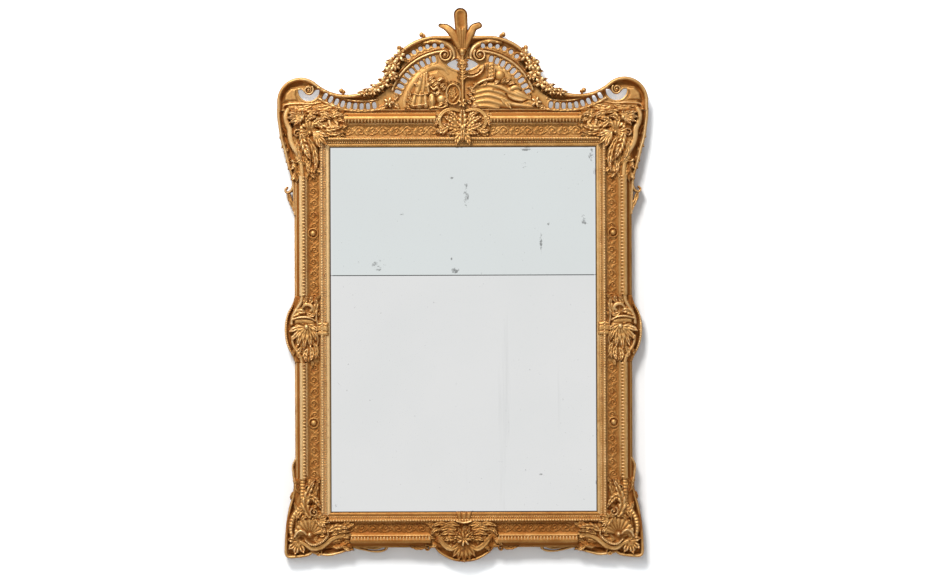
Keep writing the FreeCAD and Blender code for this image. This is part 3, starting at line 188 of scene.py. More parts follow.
def carcassWood(stretch, name):
    # bare pine behind, gilded where the frame shows at the front and round its edges
    material, tree, shader, pine = boards(name, (0.16, 0.085, 0.035), (0.42, 0.27, 0.135), 7, stretch)
    coords = addNode(tree, "ShaderNodeTexCoord").outputs["Object"]
    axes = addNode(tree, "ShaderNodeSeparateXYZ")
    tree.links.new(coords, axes.inputs[0])
    wander = math2(tree, "MULTIPLY", noise(tree, coords, 22, 4), 0.006)
    front = math2(tree, "LESS_THAN", math2(tree, "ADD", axes.outputs["Y"], wander), -0.013)
    gold = ramp(tree, noise(tree, coords, 18, 5), [(0.3, giltLook["shade"]), (0.55, giltLook["leaf"]),
                                                   (0.8, (0.72, 0.42, 0.13))])
    tree.links.new(mixColors(tree, front, pine, gold), shader.inputs["Base Color"])
    tree.links.new(math2(tree, "MULTIPLY", front, 0.82), shader.inputs["Metallic"])
    return material


# spots where the silver has gone, on the glass: middle x and z, half width and half height, strength
foxing = [
    (-328, 1034, 38, 34, 0.18), (-238, 1230, 14, 12, 0.20), (-32, 1006, 20, 16, 0.38), (14, 1300, 16, 72, 0.20),
    (-44, 1366, 14, 9, 0.22), (-44, 1052, 9, 8, 0.20), (302, 1110, 8, 60, 0.26), (332, 1187, 8, 8, 0.22),
    (468, 1200, 19, 30, 0.19), (511, 1389, 7, 18, 0.30), (502, 1452, 20, 36, 0.18), (478, 1486, 14, 6, 0.24),
    (-12, 1485, 26, 6, 0.28), (240, 1480, 30, 16, 0.28), (290, 1467, 9, 7, 0.20), (238, 1412, 14, 26, 0.16),
    (298, 214, 10, 8, 0.20), (514, 182, 9, 12, 0.24), (-498, 96, 22, 16, 0.10), (10, 72, 60, 4, 0.20),
]
plateSeam = 988.5
sightEdge = (518.0, 68.5, 1488.5)    # half width, foot and top of the glass that shows


def silvering():
    material, tree, shader = newMaterial("oldSilvering")
    coords = addNode(tree, "ShaderNodeTexCoord").outputs["Object"]
    axes = addNode(tree, "ShaderNodeSeparateXYZ")
    tree.links.new(coords, axes.inputs[0])
    clouds = noise(tree, coords, 2.6, 4, 0.5)
    upper = math2(tree, "GREATER_THAN", axes.outputs["Z"], plateSeam / 1000)
    plate = mixColors(tree, upper, (0.955, 0.955, 0.945), (0.890, 0.932, 0.922))
    color = mixColors(tree, ramp(tree, clouds, [(0.42, (0, 0, 0)), (0.7, (0.35,) * 3)]), plate, (0.87, 0.89, 0.88))
    lost = None
    for x, z, halfWidth, halfHeight, strength in foxing:
        dx = math2(tree, "MULTIPLY", math2(tree, "SUBTRACT", axes.outputs["X"], x / 1000), 1000 / halfWidth)
        dz = math2(tree, "MULTIPLY", math2(tree, "SUBTRACT", axes.outputs["Z"], z / 1000), 1000 / halfHeight)
        far = math2(tree, "ADD", math2(tree, "MULTIPLY", dx, dx), math2(tree, "MULTIPLY", dz, dz))
        spot = math2(tree, "MULTIPLY", math2(tree, "SUBTRACT", 1.0, math2(tree, "MINIMUM", far, 1.0)), strength)
        lost = spot if lost is None else math2(tree, "MAXIMUM", lost, spot)
    specks = noise(tree, coords, 62, 6, 0.74)
    fox = ramp(tree, math2(tree, "ADD", specks, lost), [(0.665, (0, 0, 0)), (0.77, (0.72,) * 3)])
    color = mixColors(tree, fox, color, (0.07, 0.07, 0.072))
    streaks = noise(tree, coords, 9, 5, 0.6, (1, 1, 0.05))
    faint = ramp(tree, streaks, [(0.66, (0, 0, 0)), (0.74, (0.10,) * 3)])
    color = mixColors(tree, faint, color, (0.30, 0.32, 0.32))
    seam = math2(tree, "ABSOLUTE", math2(tree, "SUBTRACT", axes.outputs["Z"], plateSeam / 1000), 0)
    color = mixColors(tree, math2(tree, "LESS_THAN", seam, 0.0016), color, (0.05, 0.05, 0.052))
    # a painted pale reflection on the bevel and a painted dark band for the shaded rebate round the sight edge
    side = math2(tree, "SUBTRACT", sightEdge[0] / 1000, math2(tree, "ABSOLUTE", axes.outputs["X"], 0))
    foot = math2(tree, "SUBTRACT", axes.outputs["Z"], sightEdge[1] / 1000)
    top = math2(tree, "SUBTRACT", sightEdge[2] / 1000, axes.outputs["Z"])
    edge = math2(tree, "MULTIPLY", math2(tree, "MINIMUM", side, math2(tree, "MINIMUM", foot, top)), 50.0)
    color = mixColors(tree, ramp(tree, edge, [(0.22, (0, 0, 0)), (0.30, (0.6,) * 3), (0.46, (0.6,) * 3), (0.58, (0, 0, 0))]), color, (0.96, 0.97, 0.98))
    color = mixColors(tree, ramp(tree, edge, [(0.16, (1, 1, 1)), (0.26, (0, 0, 0))]), color, (0.10, 0.055, 0.025))
    tree.links.new(color, shader.inputs["Base Color"])
    shader.inputs["Metallic"].default_value = 1.0
    tree.links.new(ramp(tree, fox, [(0.0, (0.03,) * 3), (1.0, (0.55,) * 3)]), shader.inputs["Roughness"])
    addBump(tree, shader, noise(tree, coords, 3.0, 1), 0.02, 0.002)
    return material


def iron(name, dark, rust, shine):
    material, tree, shader = newMaterial(name)
    coords = addNode(tree, "ShaderNodeTexCoord").outputs["Object"]
    patches = noise(tree, coords, 55, 6, 0.65)
    color = ramp(tree, patches, [(0.38, dark), (0.6, tuple(channel * 1.7 for channel in dark)), (0.72, rust)])
    tree.links.new(color, shader.inputs["Base Color"])
    tree.links.new(ramp(tree, patches, [(0.35, (shine,) * 3), (0.75, (0.85,) * 3)]), shader.inputs["Roughness"])
    shader.inputs["Metallic"].default_value = 0.8
    addBump(tree, shader, patches, 0.35, 0.0006)
    return material


carvedGilt = gilding("carvedGilding", True)
plainGilt = gilding("plainGilding", False)
uprightPine = carcassWood((1, 1, 0.06), "uprightPine")
levelPine = carcassWood((0.06, 1, 1), "levelPine")
backOak = boards("backOak", (0.10, 0.055, 0.025), (0.30, 0.19, 0.10), 8, (0.05, 1, 1))[0]
ledgeOak = boards("ledgeOak", (0.12, 0.065, 0.03), (0.34, 0.22, 0.12), 9, (1, 1, 0.05))[0]
buttonBeech = boards("buttonBeech", (0.20, 0.10, 0.045), (0.46, 0.28, 0.15), 14, (0.3, 1, 0.3))[0]
oldSilver = silvering()
forgedIron = iron("forgedIron", (0.045, 0.04, 0.037), (0.16, 0.07, 0.035), 0.45)
screwSteel = iron("screwSteel", (0.16, 0.15, 0.14), (0.17, 0.09, 0.05), 0.32)
print("materials made")


# carving on a grid: each form is laid over what is there, and the outline is cut out at the end

def smoothLine(points, perSpan=8):
    knots = np.array([points[0]] + list(points) + [points[-1]], float)
    out = []
    for index in range(1, len(knots) - 2):
        a, b, c, d = knots[index - 1:index + 3]
        for t in np.linspace(0, 1, perSpan, endpoint=False):
            out.append(0.5 * (2 * b + (c - a) * t + (2 * a - 5 * b + 4 * c - d) * t ** 2
                              + (3 * b - a - 3 * c + d) * t ** 3))
    out.append(knots[-1])
    return np.array(out)


def arcLine(x, z, radius, start, stop, count=24):
    turn = np.radians(np.linspace(start, stop, count))
    return np.stack([x + radius * np.cos(turn), z + radius * np.sin(turn)], 1)


def spiralLine(x, z, outer, inner, start, sweep, count=34):
    turn = np.radians(np.linspace(start, start + sweep, count))
    radius = np.linspace(outer, inner, count)
    return np.stack([x + radius * np.cos(turn), z + radius * np.sin(turn)], 1)


def nearLine(gx, gz, line):
    # distance to a bent line, how far along it that is from 0 to 1, and the side
    pieces = np.diff(line, axis=0)
    lengths = np.hypot(pieces[:, 0], pieces[:, 1]) + 1e-9
    ends = np.concatenate([[0], np.cumsum(lengths)])
    best = np.full(gx.shape, 1e12)
    along = np.zeros(gx.shape)
    side = np.ones(gx.shape)
    for (ax, az), (dx, dz), length, done in zip(line[:-1], pieces, lengths, ends):
        t = np.clip(((gx - ax) * dx + (gz - az) * dz) / length ** 2, 0, 1)
        ex = gx - ax - t * dx
        ez = gz - az - t * dz
        gap = ex * ex + ez * ez
        closer = gap < best
        best = np.where(closer, gap, best)
        along = np.where(closer, (done + t * length) / ends[-1], along)
        side = np.where(closer, np.sign(dx * ez - dz * ex), side)
    return np.sqrt(best), along, side, ends[-1]


def insideOutline(gx, gz, corners):
    # distance to a closed outline, positive inside it
    closed = np.vstack([corners, corners[:1]])
    away = nearLine(gx, gz, closed)[0]
    within = np.zeros(gx.shape, bool)
    for (ax, az), (bx, bz) in zip(closed[:-1], closed[1:]):
        if az != bz:
            crosses = ((az > gz) != (bz > gz)) & (gx < ax + (gz - az) * (bx - ax) / (bz - az))
            within ^= crosses
    return np.where(within, away, -away)


class Relief:
    def __init__(self, x0, x1, z0, z1, step=2.0):
        self.step = step
        self.xs = x0 + step * np.arange(int(round((x1 - x0) / step)) + 1)
        self.zs = z0 + step * np.arange(int(round((z1 - z0) / step)) + 1)
        self.gx, self.gz = np.meshgrid(self.xs, self.zs)
        self.inside = np.full(self.gx.shape, -60.0)
        self.height = np.zeros(self.gx.shape)
        self.bias = np.zeros(self.gx.shape)

    def part(self, points, margin):
        points = np.asarray(points, float)
        cells = []
        for axis, line in ((1, self.zs), (0, self.xs)):
            first = int((points[:, axis].min() - margin - line[0]) / self.step)
            last = int((points[:, axis].max() + margin - line[0]) / self.step) + 2
            cells.append(slice(max(first, 0), max(min(last, len(line)), 0)))
        return tuple(cells)

    def lay(self, part, edge, height):
        covered = edge > -1.7 * self.step
        self.height[part] = np.where(covered, np.maximum(self.height[part], height), self.height[part])
        self.inside[part] = np.maximum(self.inside[part], edge)

    def bed(self, corners, h, soft=0.0):
        corners = np.asarray(corners, float)
        part = self.part(corners, 4)
        edge = insideOutline(self.gx[part], self.gz[part], corners)
        drop = soft * (1 - np.clip(edge / max(soft, 1e-6), 0, 1)) ** 2
        self.lay(part, edge, h - drop)

    def roll(self, line, width, base, rise, taper=(1, 1), ribs=0, hollow=0.0):
        # a rounded moulding along a line; ribs cross it, hollow sinks its middle between two lips
        line = np.asarray(line, float)
        part = self.part(line, width + 4)
        gap, along, side, length = nearLine(self.gx[part], self.gz[part], line)
        half = width / 2 * np.interp(along, np.linspace(0, 1, len(taper)), taper)
        q = np.clip(gap / np.maximum(half, 0.5), 0, 1.3)
        crown = np.sqrt(np.clip(1 - q * q, 0, 1))
        if hollow:
            crown = crown * (1 - hollow * np.clip(1 - (q / 0.72) ** 2, 0, 1))
        if ribs:
            crown = crown * (0.74 + 0.26 * np.abs(np.sin(along * length * math.pi / ribs)))
        self.lay(part, half - gap, base + rise * crown * np.clip(half / (width / 2), 0.45, 1))

    def leaf(self, points, width, base, rise, lobes=4, curl=0.35, split=0.30):
        # a lobed leaf, hollow beside its midrib, that lifts towards the tip
        line = smoothLine(points, 7)
        part = self.part(line, width + 4)
        gap, along, side, length = nearLine(self.gx[part], self.gz[part], line)
        body = np.maximum(width / 2 * np.sin(np.pi * np.clip(0.12 + 0.88 * along, 0, 1) ** 0.85) ** 0.7, 1.2)
        lobe = np.abs(np.cos(math.pi * (lobes * along - 0.8 * gap / (width / 2))))
        half = body * (1 - split * (1 - lobe ** 0.7))
        q = np.clip(gap / half, 0, 1.3)
        swell = (0.62 + 0.38 * np.sin(math.pi * np.clip(q, 0, 1) ** 0.9)) * (0.78 + 0.22 * lobe) * (0.72 + curl * along)
        swell = np.where(q > 0.8, swell * (1 - 1.2 * (q - 0.8)), swell)
        self.lay(part, half - gap, base + rise * np.clip(swell, 0.12, 1.2))

    def fan(self, x, z, tips, width, base, rise):
        # leaves that spring from one point
        for tipX, tipZ in tips:
            middle = (x * 0.45 + tipX * 0.55, z * 0.45 + tipZ * 0.55 + 3)
            self.leaf([(x, z), middle, (tipX, tipZ)], width, base, rise, 2, 0.45)

    def sprigs(self, corners, count, length, base, rise, flow, seed):
        # small leaves strewn over a patch, turned to the heading that flow gives in degrees
        chance = np.random.default_rng(seed)
        corners = np.asarray(corners, float)
        low, high = corners.min(0), corners.max(0)
        placed = 0
        while placed < count:
            x, z = chance.uniform(low, high)
            if insideOutline(np.array([x]), np.array([z]), corners)[0] > 2:
                placed += 1
                long = length * chance.uniform(0.7, 1.3)
                heading = math.radians(flow(x, z) + chance.uniform(-35, 35))
                bend = math.radians(chance.uniform(-45, 45))
                mid = (x + long / 2 * math.cos(heading), z + long / 2 * math.sin(heading))
                tip = (mid[0] + long / 2 * math.cos(heading + bend), mid[1] + long / 2 * math.sin(heading + bend))
                self.leaf([(x, z), mid, tip], long * 0.52, base, rise * chance.uniform(0.7, 1.15), 2)

    def shell(self, x, z, radius, start, sweep, flutes, base, rise, frill=0.10):
        part = self.part([(x - radius, z - radius), (x + radius, z + radius)], radius * frill + 4)
        dx = self.gx[part] - x
        dz = self.gz[part] - z
        far = np.hypot(dx, dz)
        turn = (np.degrees(np.arctan2(dz, dx)) - start) % 360
        turn = np.where(turn > 180 + sweep / 2, turn - 360, turn)
        wave = np.abs(np.sin(math.pi * np.clip(turn / sweep, 0, 1) * flutes))
        rim = radius * (1 - frill + frill * wave ** 0.7)
        over = np.maximum(-turn, turn - sweep)
        sideGap = np.where(over > 0, far * np.sin(np.radians(np.clip(over, 0, 90))), -far)
        sideGap = np.where(over > 90, far, sideGap)
        edge = np.minimum(rim - far, np.where(over > 0, -sideGap, 9.0))
        share = np.clip(far / radius, 0, 1)
        swell = (0.34 + 0.66 * np.sin(share * 2.2)) * (0.66 + 0.34 * wave ** 0.8)
        self.lay(part, edge, base + rise * np.clip(swell, 0.1, 1.1))
        self.bead(x, z, radius * 0.17, base + rise * 0.3, rise * 0.6)

    def flower(self, x, z, radius, petals, base, rise, turn=0.0):
        part = self.part([(x - radius, z - radius), (x + radius, z + radius)], 4)
        dx = self.gx[part] - x
        dz = self.gz[part] - z
        far = np.hypot(dx, dz)
        wave = np.abs(np.cos((np.arctan2(dz, dx) - math.radians(turn)) * petals / 2))
        rim = radius * (0.42 + 0.58 * wave ** 1.7)
        share = np.clip(far / rim, 0, 1)
        petal = (0.45 + 0.55 * np.sin(share * 2.3)) * (0.60 + 0.40 * wave ** 0.6)
        bud = 0.95 * np.sqrt(np.clip(1 - (far / (0.26 * radius)) ** 2, 0, 1))
        self.lay(part, rim - far, base + rise * np.maximum(petal, bud))

    def bead(self, x, z, radius, base, rise):
        part = self.part([(x - radius, z - radius), (x + radius, z + radius)], 4)
        far = np.hypot(self.gx[part] - x, self.gz[part] - z)
        self.lay(part, radius - far, base + rise * np.sqrt(np.clip(1 - (far / radius) ** 2, 0, 1)))

    def scroll(self, x, z, outer, start, sweep, width, base, rise, hollow=0.0):
        # a volute that narrows to a round eye
        self.roll(spiralLine(x, z, outer, outer * 0.30, start, sweep), width, base, rise, (1.0, 0.85, 0.6), 0, hollow)
        self.bead(x, z, max(outer * 0.30, 3.0), base, rise * 1.1)

    def sink(self, line, width, depth):
        line = np.asarray(line, float)
        part = self.part(line, width + 4)
        gap = nearLine(self.gx[part], self.gz[part], line)[0]
        self.height[part] -= depth * np.clip(1 - (gap / (width / 2)) ** 2, 0, 1)

    def pierce(self, corners, lip=0.0):
        corners = np.asarray(corners, float)
        part = self.part(corners, 12)
        edge = insideOutline(self.gx[part], self.gz[part], corners)
        self.height[part] += lip * np.exp(-((edge + 4.0) / 2.6) ** 2)
        self.inside[part] = np.minimum(self.inside[part], -edge)

    def darkenArea(self, corners, amount):
        # darkens the gilding inside an outline as painted shade, or brightens it with a positive amount
        corners = np.asarray(corners, float)
        part = self.part(corners, 2)
        within = insideOutline(self.gx[part], self.gz[part], corners) > 0
        self.bias[part] = np.where(within, amount, self.bias[part])

    def shade(self, line, width, amount):
        # the same along a line, with a soft edge
        line = np.asarray(line, float)
        part = self.part(line, width)
        gap = nearLine(self.gx[part], self.gz[part], line)[0]
        self.bias[part] += amount * np.clip(1.5 - 2 * gap / width, 0, 1)

    def hatch(self, corners, pitch, depth):
        # a diaper of crossing lines in the ground
        corners = np.asarray(corners, float)
        part = self.part(corners, 2)
        gx, gz = self.gx[part], self.gz[part]
        lines = np.minimum(np.abs(np.sin((gx + gz) * math.pi / pitch)), np.abs(np.sin((gx - gz) * math.pi / pitch)))
        within = insideOutline(gx, gz, corners) > 0
        self.height[part] -= np.where(within, depth * np.clip(1 - lines / 0.45, 0, 1), 0)


def awayFrom(x0, z0):
    return lambda x, z: math.degrees(math.atan2(z - z0, x - x0))


def blurred(field, weight, cells):
    for axis in (0, 1):
        for repeat in range(2):
            total = np.zeros(field.shape)
            count = np.zeros(field.shape)
            for shift in range(-cells, cells + 1):
                total += np.roll(field * weight, shift, axis)
                count += np.roll(weight, shift, axis)
            field = total / np.maximum(count, 1e-6)
    return field


def cutRelief(relief, back, keep=None):
    # marching squares round the outline, a front, a back and the wall between them
    inside = relief.inside if keep is None else np.minimum(relief.inside, keep)
    inside = inside.copy()
    inside[0], inside[-1], inside[:, 0], inside[:, -1] = -1, -1, -1, -1
    solid = inside > 0
    weight = (relief.inside > 0).astype(float)
    # the tone paints shade into hollows and highlight onto crowns, read from the carved height round each point, plus
    # the bias
    cavity = relief.height - blurred(relief.height, weight, max(int(7 / relief.step), 2))
    wide = relief.height - blurred(relief.height, weight, max(int(20 / relief.step), 3))
    tone = np.clip(0.50 + 0.042 * cavity + 0.013 * wide + relief.bias, 0.0, 1.0)
    backs = np.broadcast_to(np.asarray(back, float), inside.shape)
    front = np.maximum(relief.height, backs + 1.0)
    index = np.full(inside.shape, -1)
    index[solid] = np.arange(solid.sum())
    fields = np.stack([relief.gx, front, relief.gz, tone, backs], -1)
    points = [fields[solid]]
    count = int(solid.sum())
    crossings = {}
    extra = []

    def crossing(a, b):
        nonlocal count
        key = (min(a, b), max(a, b))
        if key not in crossings:
            t = float(np.clip(inside[a] / (inside[a] - inside[b]), 0.06, 0.94))
            mixed = fields[a] * (1 - t) + fields[b] * t
            if front[b] < front[a] - 12:
                mixed[1] = front[a]
            extra.append(mixed)
            crossings[key] = count
            count += 1
        return crossings[key]

    corner = [solid[:-1, :-1], solid[:-1, 1:], solid[1:, 1:], solid[1:, :-1]]
    full = corner[0] & corner[1] & corner[2] & corner[3]
    faces = np.stack([index[:-1, :-1][full], index[:-1, 1:][full], index[1:, 1:][full], index[1:, :-1][full]], 1).tolist()
    some = (corner[0] | corner[1] | corner[2] | corner[3]) & ~full
    walls = []
    for j, i in zip(*np.nonzero(some)):
        ring = [(j, i), (j, i + 1), (j + 1, i + 1), (j + 1, i)]
        loop = []
        leaving = None
        first = None
        for here, there in zip(ring, ring[1:] + ring[:1]):
            if solid[here]:
                loop.append(int(index[here]))
            if solid[here] != solid[there]:
                if solid[here]:
                    leaving = crossing(here, there)
                    loop.append(leaving)
                else:
                    entering = crossing(there, here)
                    loop.append(entering)
                    if leaving is None:
                        first = entering
                    else:
                        walls.append((leaving, entering))
                        leaving = None
        if leaving is not None and first is not None:
            walls.append((leaving, first))
        faces.append(loop)
    points = np.vstack(points + ([np.array(extra)] if extra else []))
    total = len(points)
    verts = np.zeros((2 * total, 3))
    verts[:total] = points[:, [0, 1, 2]] * (0.001, -0.001, 0.001)
    verts[total:] = points[:, [0, 4, 2]] * (0.001, -0.001, 0.001)
    # backs take a dark tone, so the cut sides grade into painted shade towards the wall
    tones = np.concatenate([points[:, 3], np.full(total, 0.30)])
    backFaces = [[corner + total for corner in reversed(face)] for face in faces]
    sides = [[q, p, p + total, q + total] for p, q in walls]
    return verts, faces + backFaces + sides, tones


def makePiece(name, verts, faces, tones, material, sharp=50):
    mesh = bpy.data.meshes.new(name)
    mesh.from_pydata(np.asarray(verts).tolist(), [], faces)
    if tones is not None:
        layer = mesh.attributes.new("tone", "FLOAT", "POINT")
        layer.data.foreach_set("value", np.asarray(tones, np.float32))
    turned = np.zeros((len(faces), 3), np.float32)
    mesh.polygons.foreach_get("normal", turned.ravel())
    layer = mesh.attributes.new("bare", "FLOAT", "FACE")
    layer.data.foreach_set("value", (turned[:, 1] > 0.6).astype(np.float32))
    mesh.shade_smooth()
    mesh.set_sharp_from_angle(angle=math.radians(sharp))
    mesh.materials.append(material)
    piece = bpy.data.objects.new(name, mesh)
    bpy.context.scene.collection.objects.link(piece)
    return piece


def dress(piece, *replaced):
    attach(piece, "frame")
    if replaced:
        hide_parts(*replaced)
    print("  ", piece.name, len(piece.data.polygons), "faces")


def flipped(shape):
    verts, faces, tones = shape
    return verts * (-1, 1, 1), [list(reversed(face)) for face in faces], tones


def dressPair(name, shape, nodeName):
    dress(makePiece(f"{name}Left", *shape, carvedGilt), f"{nodeName}_left")
    dress(makePiece(f"{name}Right", *flipped(shape), carvedGilt), f"{nodeName}_right")


# crest boards

crest = {
    "humpX": 100.0, "humpZ": 90.0, "humpRadius": 202.0,
    "valleyX": 449.2, "valleyZ": 245.09, "valleyRadius": 180.09,
    "shoulderX": 628.0, "shoulderZ": 40.0, "shoulderRadius": 92.0,
    "joint": 318.0,              # where the wings meet the panel
    "back": 12.0, "field": 34.0,
    "rimWidth": 14.0, "rimRise": 12.0, "rimTone": -0.13, "coveWidth": 30.0, "coveDepth": 8.0, "coveTone": -0.10,
    "slotWidth": 15.5, "slotLength": 28.0, "lanternLength": 20.0,
    "lip": 3.0,
}
crestFoot = frameSize["top"]


def touchAngle(ax, az, bx, bz):
    return math.degrees(math.atan2(bz - az, bx - ax))


def crestEdge():
    # the curved edge from the left foot to the middle, then its mirror image
    c = crest
    humpTouch = touchAngle(-c["humpX"], c["humpZ"], -c["valleyX"], c["valleyZ"]) % 360
    shoulderTouch = touchAngle(-c["shoulderX"], c["shoulderZ"], -c["valleyX"], c["valleyZ"])
    left = [np.array([(-c["shoulderX"] - c["shoulderRadius"], 0.0)])]
    left.append(arcLine(-c["shoulderX"], c["shoulderZ"], c["shoulderRadius"], 180, shoulderTouch, 40))
    left.append(arcLine(-c["valleyX"], c["valleyZ"], c["valleyRadius"], shoulderTouch + 180, humpTouch + 180, 50)[1:])
    left.append(arcLine(-c["humpX"], c["humpZ"], c["humpRadius"], humpTouch, 90, 50)[1:])
    left = np.vstack(left)
    return np.vstack([left, left[::-1] * (-1, 1)])


def slotCorners(x, z, radius, angle, length):
    half = crest["slotWidth"] / 2
    run = length / 2 - half
    ends = np.vstack([arcLine(run, 0, half, -90, 90, 7), arcLine(-run, 0, half, 90, 270, 7)])
    turn = math.radians(angle)
    spin = np.array([[math.cos(turn), math.sin(turn)], [-math.sin(turn), math.cos(turn)]])
    return (ends + (radius, 0)) @ spin + (x, z)


slotRows = {
    # middle of the row's circle, its radius, the first angle, the step and the count
    "gallery": (-391.2, 295.0, 275.0, -121.5, 5.2, 9, "slotLength"),
    "arcade": (-58.0, 4.0, 206.0, 105.0, 6.8, 9, "slotLength"),
    "lantern": (-100.0, 90.0, 166.0, 83.0, 9.8, 6, "lanternLength"),
}


def carveCrest():
    c = crest
    field = c["field"]
    edgeLine = crestEdge()
    relief = Relief(-732, 732, -2, 312, 1.9)
    foot = c["shoulderX"] + c["shoulderRadius"]
    relief.bed(np.vstack([edgeLine, [(foot, 0.0), (-foot, 0.0)]]), field)
    # a rounded rim and a deep hollow follow the curved edge
    gap = nearLine(relief.gx, relief.gz, edgeLine)[0]
    across = np.clip((gap - c["rimWidth"]) / c["coveWidth"], 0, 1)
    relief.height -= np.where(relief.inside > -4, c["coveDepth"] * np.sin(math.pi * across), 0)
    q = np.clip((gap - c["rimWidth"] / 2) / (c["rimWidth"] / 2), -1.3, 1.3)
    rim = field + 4 + c["rimRise"] * np.sqrt(np.clip(1 - q * q, 0, 1))
    relief.height = np.where((gap < c["rimWidth"]) & (relief.inside > -4), rim, relief.height)
    # painted shade in the hollow beside the rim, and a darker rim
    relief.bias = np.where(gap < c["rimWidth"], c["rimTone"], c["coveTone"] * np.sin(math.pi * across))
    for side in (-1, 1):
        flip = (side * -1, 1)
        relief.roll(arcLine(-58, 4, 229, 94, 160, 40) * flip, 12, field - 3, 14)
        relief.roll(arcLine(-58, 4, 240, 96, 158, 40) * flip, 6, field - 3, 9)
        # the broad smooth band inside the arcade
        relief.roll(smoothLine([(-222, 8), (-224, 46), (-198, 102), (-156, 150), (-112, 174), (-76, 168), (-56, 146)]) * flip, 30, field - 2, 8, (0.6, 0.8, 0.9, 1.0, 0.9, 0.3))
        relief.roll(arcLine(-391.2, 295, 296, -124, -76, 40) * flip, 12, field - 3, 12)
        relief.roll(arcLine(-391.2, 295, 255, -120, -76, 40) * flip, 7, field - 3, 9)
        # the band that comes down beside the plume and rolls into the volute
        relief.roll(smoothLine([(-150, 266), (-112, 272), (-74, 265), (-44, 246), (-32, 214), (-44, 190)]) * flip, 19, field - 2, 16, (0.6, 1, 1.1, 1, 0.7))
        # shoulder: a smooth cheek, darkened, under a hollow darkened with painted shade, and a band below it
        cheek = np.array([(-696, 40), (-690, 70), (-668, 92), (-640, 92), (-646, 66), (-636, 40)]) * flip
        relief.bed(cheek, field + 5, 9)
        relief.darkenArea(cheek, -0.14)
        relief.shade(smoothLine([(-700, 52), (-690, 84), (-664, 106), (-630, 114)]) * flip, 18, -0.24)
        relief.roll(smoothLine([(-698, 4), (-690, 26), (-640, 32), (-590, 30), (-546, 38)]) * flip, 11, field - 4, 12, (0.7, 1, 0.7))
        relief.leaf(np.array([(-500, 26), (-540, 14), (-590, 12)]) * flip, 26, field - 2, 13, 4)
        relief.leaf(np.array([(-590, 22), (-624, 14), (-664, 16)]) * flip, 20, field - 2, 12, 3)
        # flower and leaf clusters where the two rows meet
        for x, z, heading in ((-300, 26, 60), (-276, 22, 100), (-318, 14, 20), (-262, 46, 80), (-250, 14, 140)):
            turn = math.radians(heading)
            tip = (x + 34 * math.cos(turn), z + 30 * math.sin(turn))
            relief.leaf(np.array([(x, z), ((x + tip[0]) / 2 + 3, (z + tip[1]) / 2), tip]) * flip, 18, field - 1, 14, 2)
        relief.flower(side * 286, 34, 17, 5, field + 2, 17)
        relief.roll(np.array([(-700, 5), (-30, 5)]) * flip, 9, field - 3, 11)
        for x, z, radius, first, step, count, length in slotRows.values():
            for index in range(count):
                slot = slotCorners(x, z, radius, first + index * step, c[length])
                relief.pierce(slot * flip, c["lip"])
        relief.pierce(smoothLine([(-14, 158), (-14, 200), (-38, 198), (-60, 182), (-38, 166), (-14, 158)]) * flip, 3)
        moon = np.vstack([arcLine(-598, 82, 41, 174, 366, 40), arcLine(-598, 102, 31, -31, -149, 30)])
        relief.pierce(moon * flip, 3)
        # leaf nubs and scroll buds along the edge
        for x, z in ((-152, 283), (-239, 232), (-464, 66)):
            relief.roll(np.array([(x + 2, z - 6), (x - 1, z + 6), (x - 3, z + 13)]) * flip, 9, field - 2, 11, (1.3, 0.8, 0.8))
            relief.bead(side * (7 - x), z + 15, 9, field, 11)
            relief.bead(side * (-3 - x), z + 11, 6, field, 9)
    return relief


crestRelief = carveCrest()
crestRelief.zs = crestRelief.zs + crestFoot
crestRelief.gz = crestRelief.gz + crestFoot
panelKeep = crest["joint"] - np.abs(crestRelief.gx)
dress(makePiece("crestPanel", *cutRelief(crestRelief, crest["back"], panelKeep), carvedGilt), "crest_panel")
wing = cutRelief(crestRelief, crest["back"], -crestRelief.gx - crest["joint"])
dressPair("crestWing", wing, "crest_wing")
print("crest boards carved")


# carving planted on the crest

def placed(shape, x, z):
    verts, faces, tones = shape
    return verts + (x / 1000, 0, z / 1000), faces, tones


volutes = {
    # middle x and z, radius, width of the roll and its rise
    "crestVolute": (68.0, 218.0, 25.0, 10.0, 20.0), "shoulderVolute": (598.0, 84.0, 19.0, 8.5, 16.0),
}


def carveVolute(radius, width, rise):
    relief = Relief(-radius - 12, radius + 12, -radius - 12, radius + 12, 1.5)
    relief.bead(0, 0, radius, 33, 3)
    relief.scroll(0, 0, radius, 40, -560, width, 35, rise, 0.2)
    return relief


for name, (x, z, radius, width, rise) in volutes.items():
    shape = placed(cutRelief(carveVolute(radius, width, rise), 28), -x, crestFoot + z)
    dressPair(name, shape, "crest_volute" if name == "crestVolute" else "shoulder_volute")


plume = {"foot": 226.0, "height": 173.0, "lobe": 53.0, "base": 44.0, "rise": 28.0, "lean": 0.045}


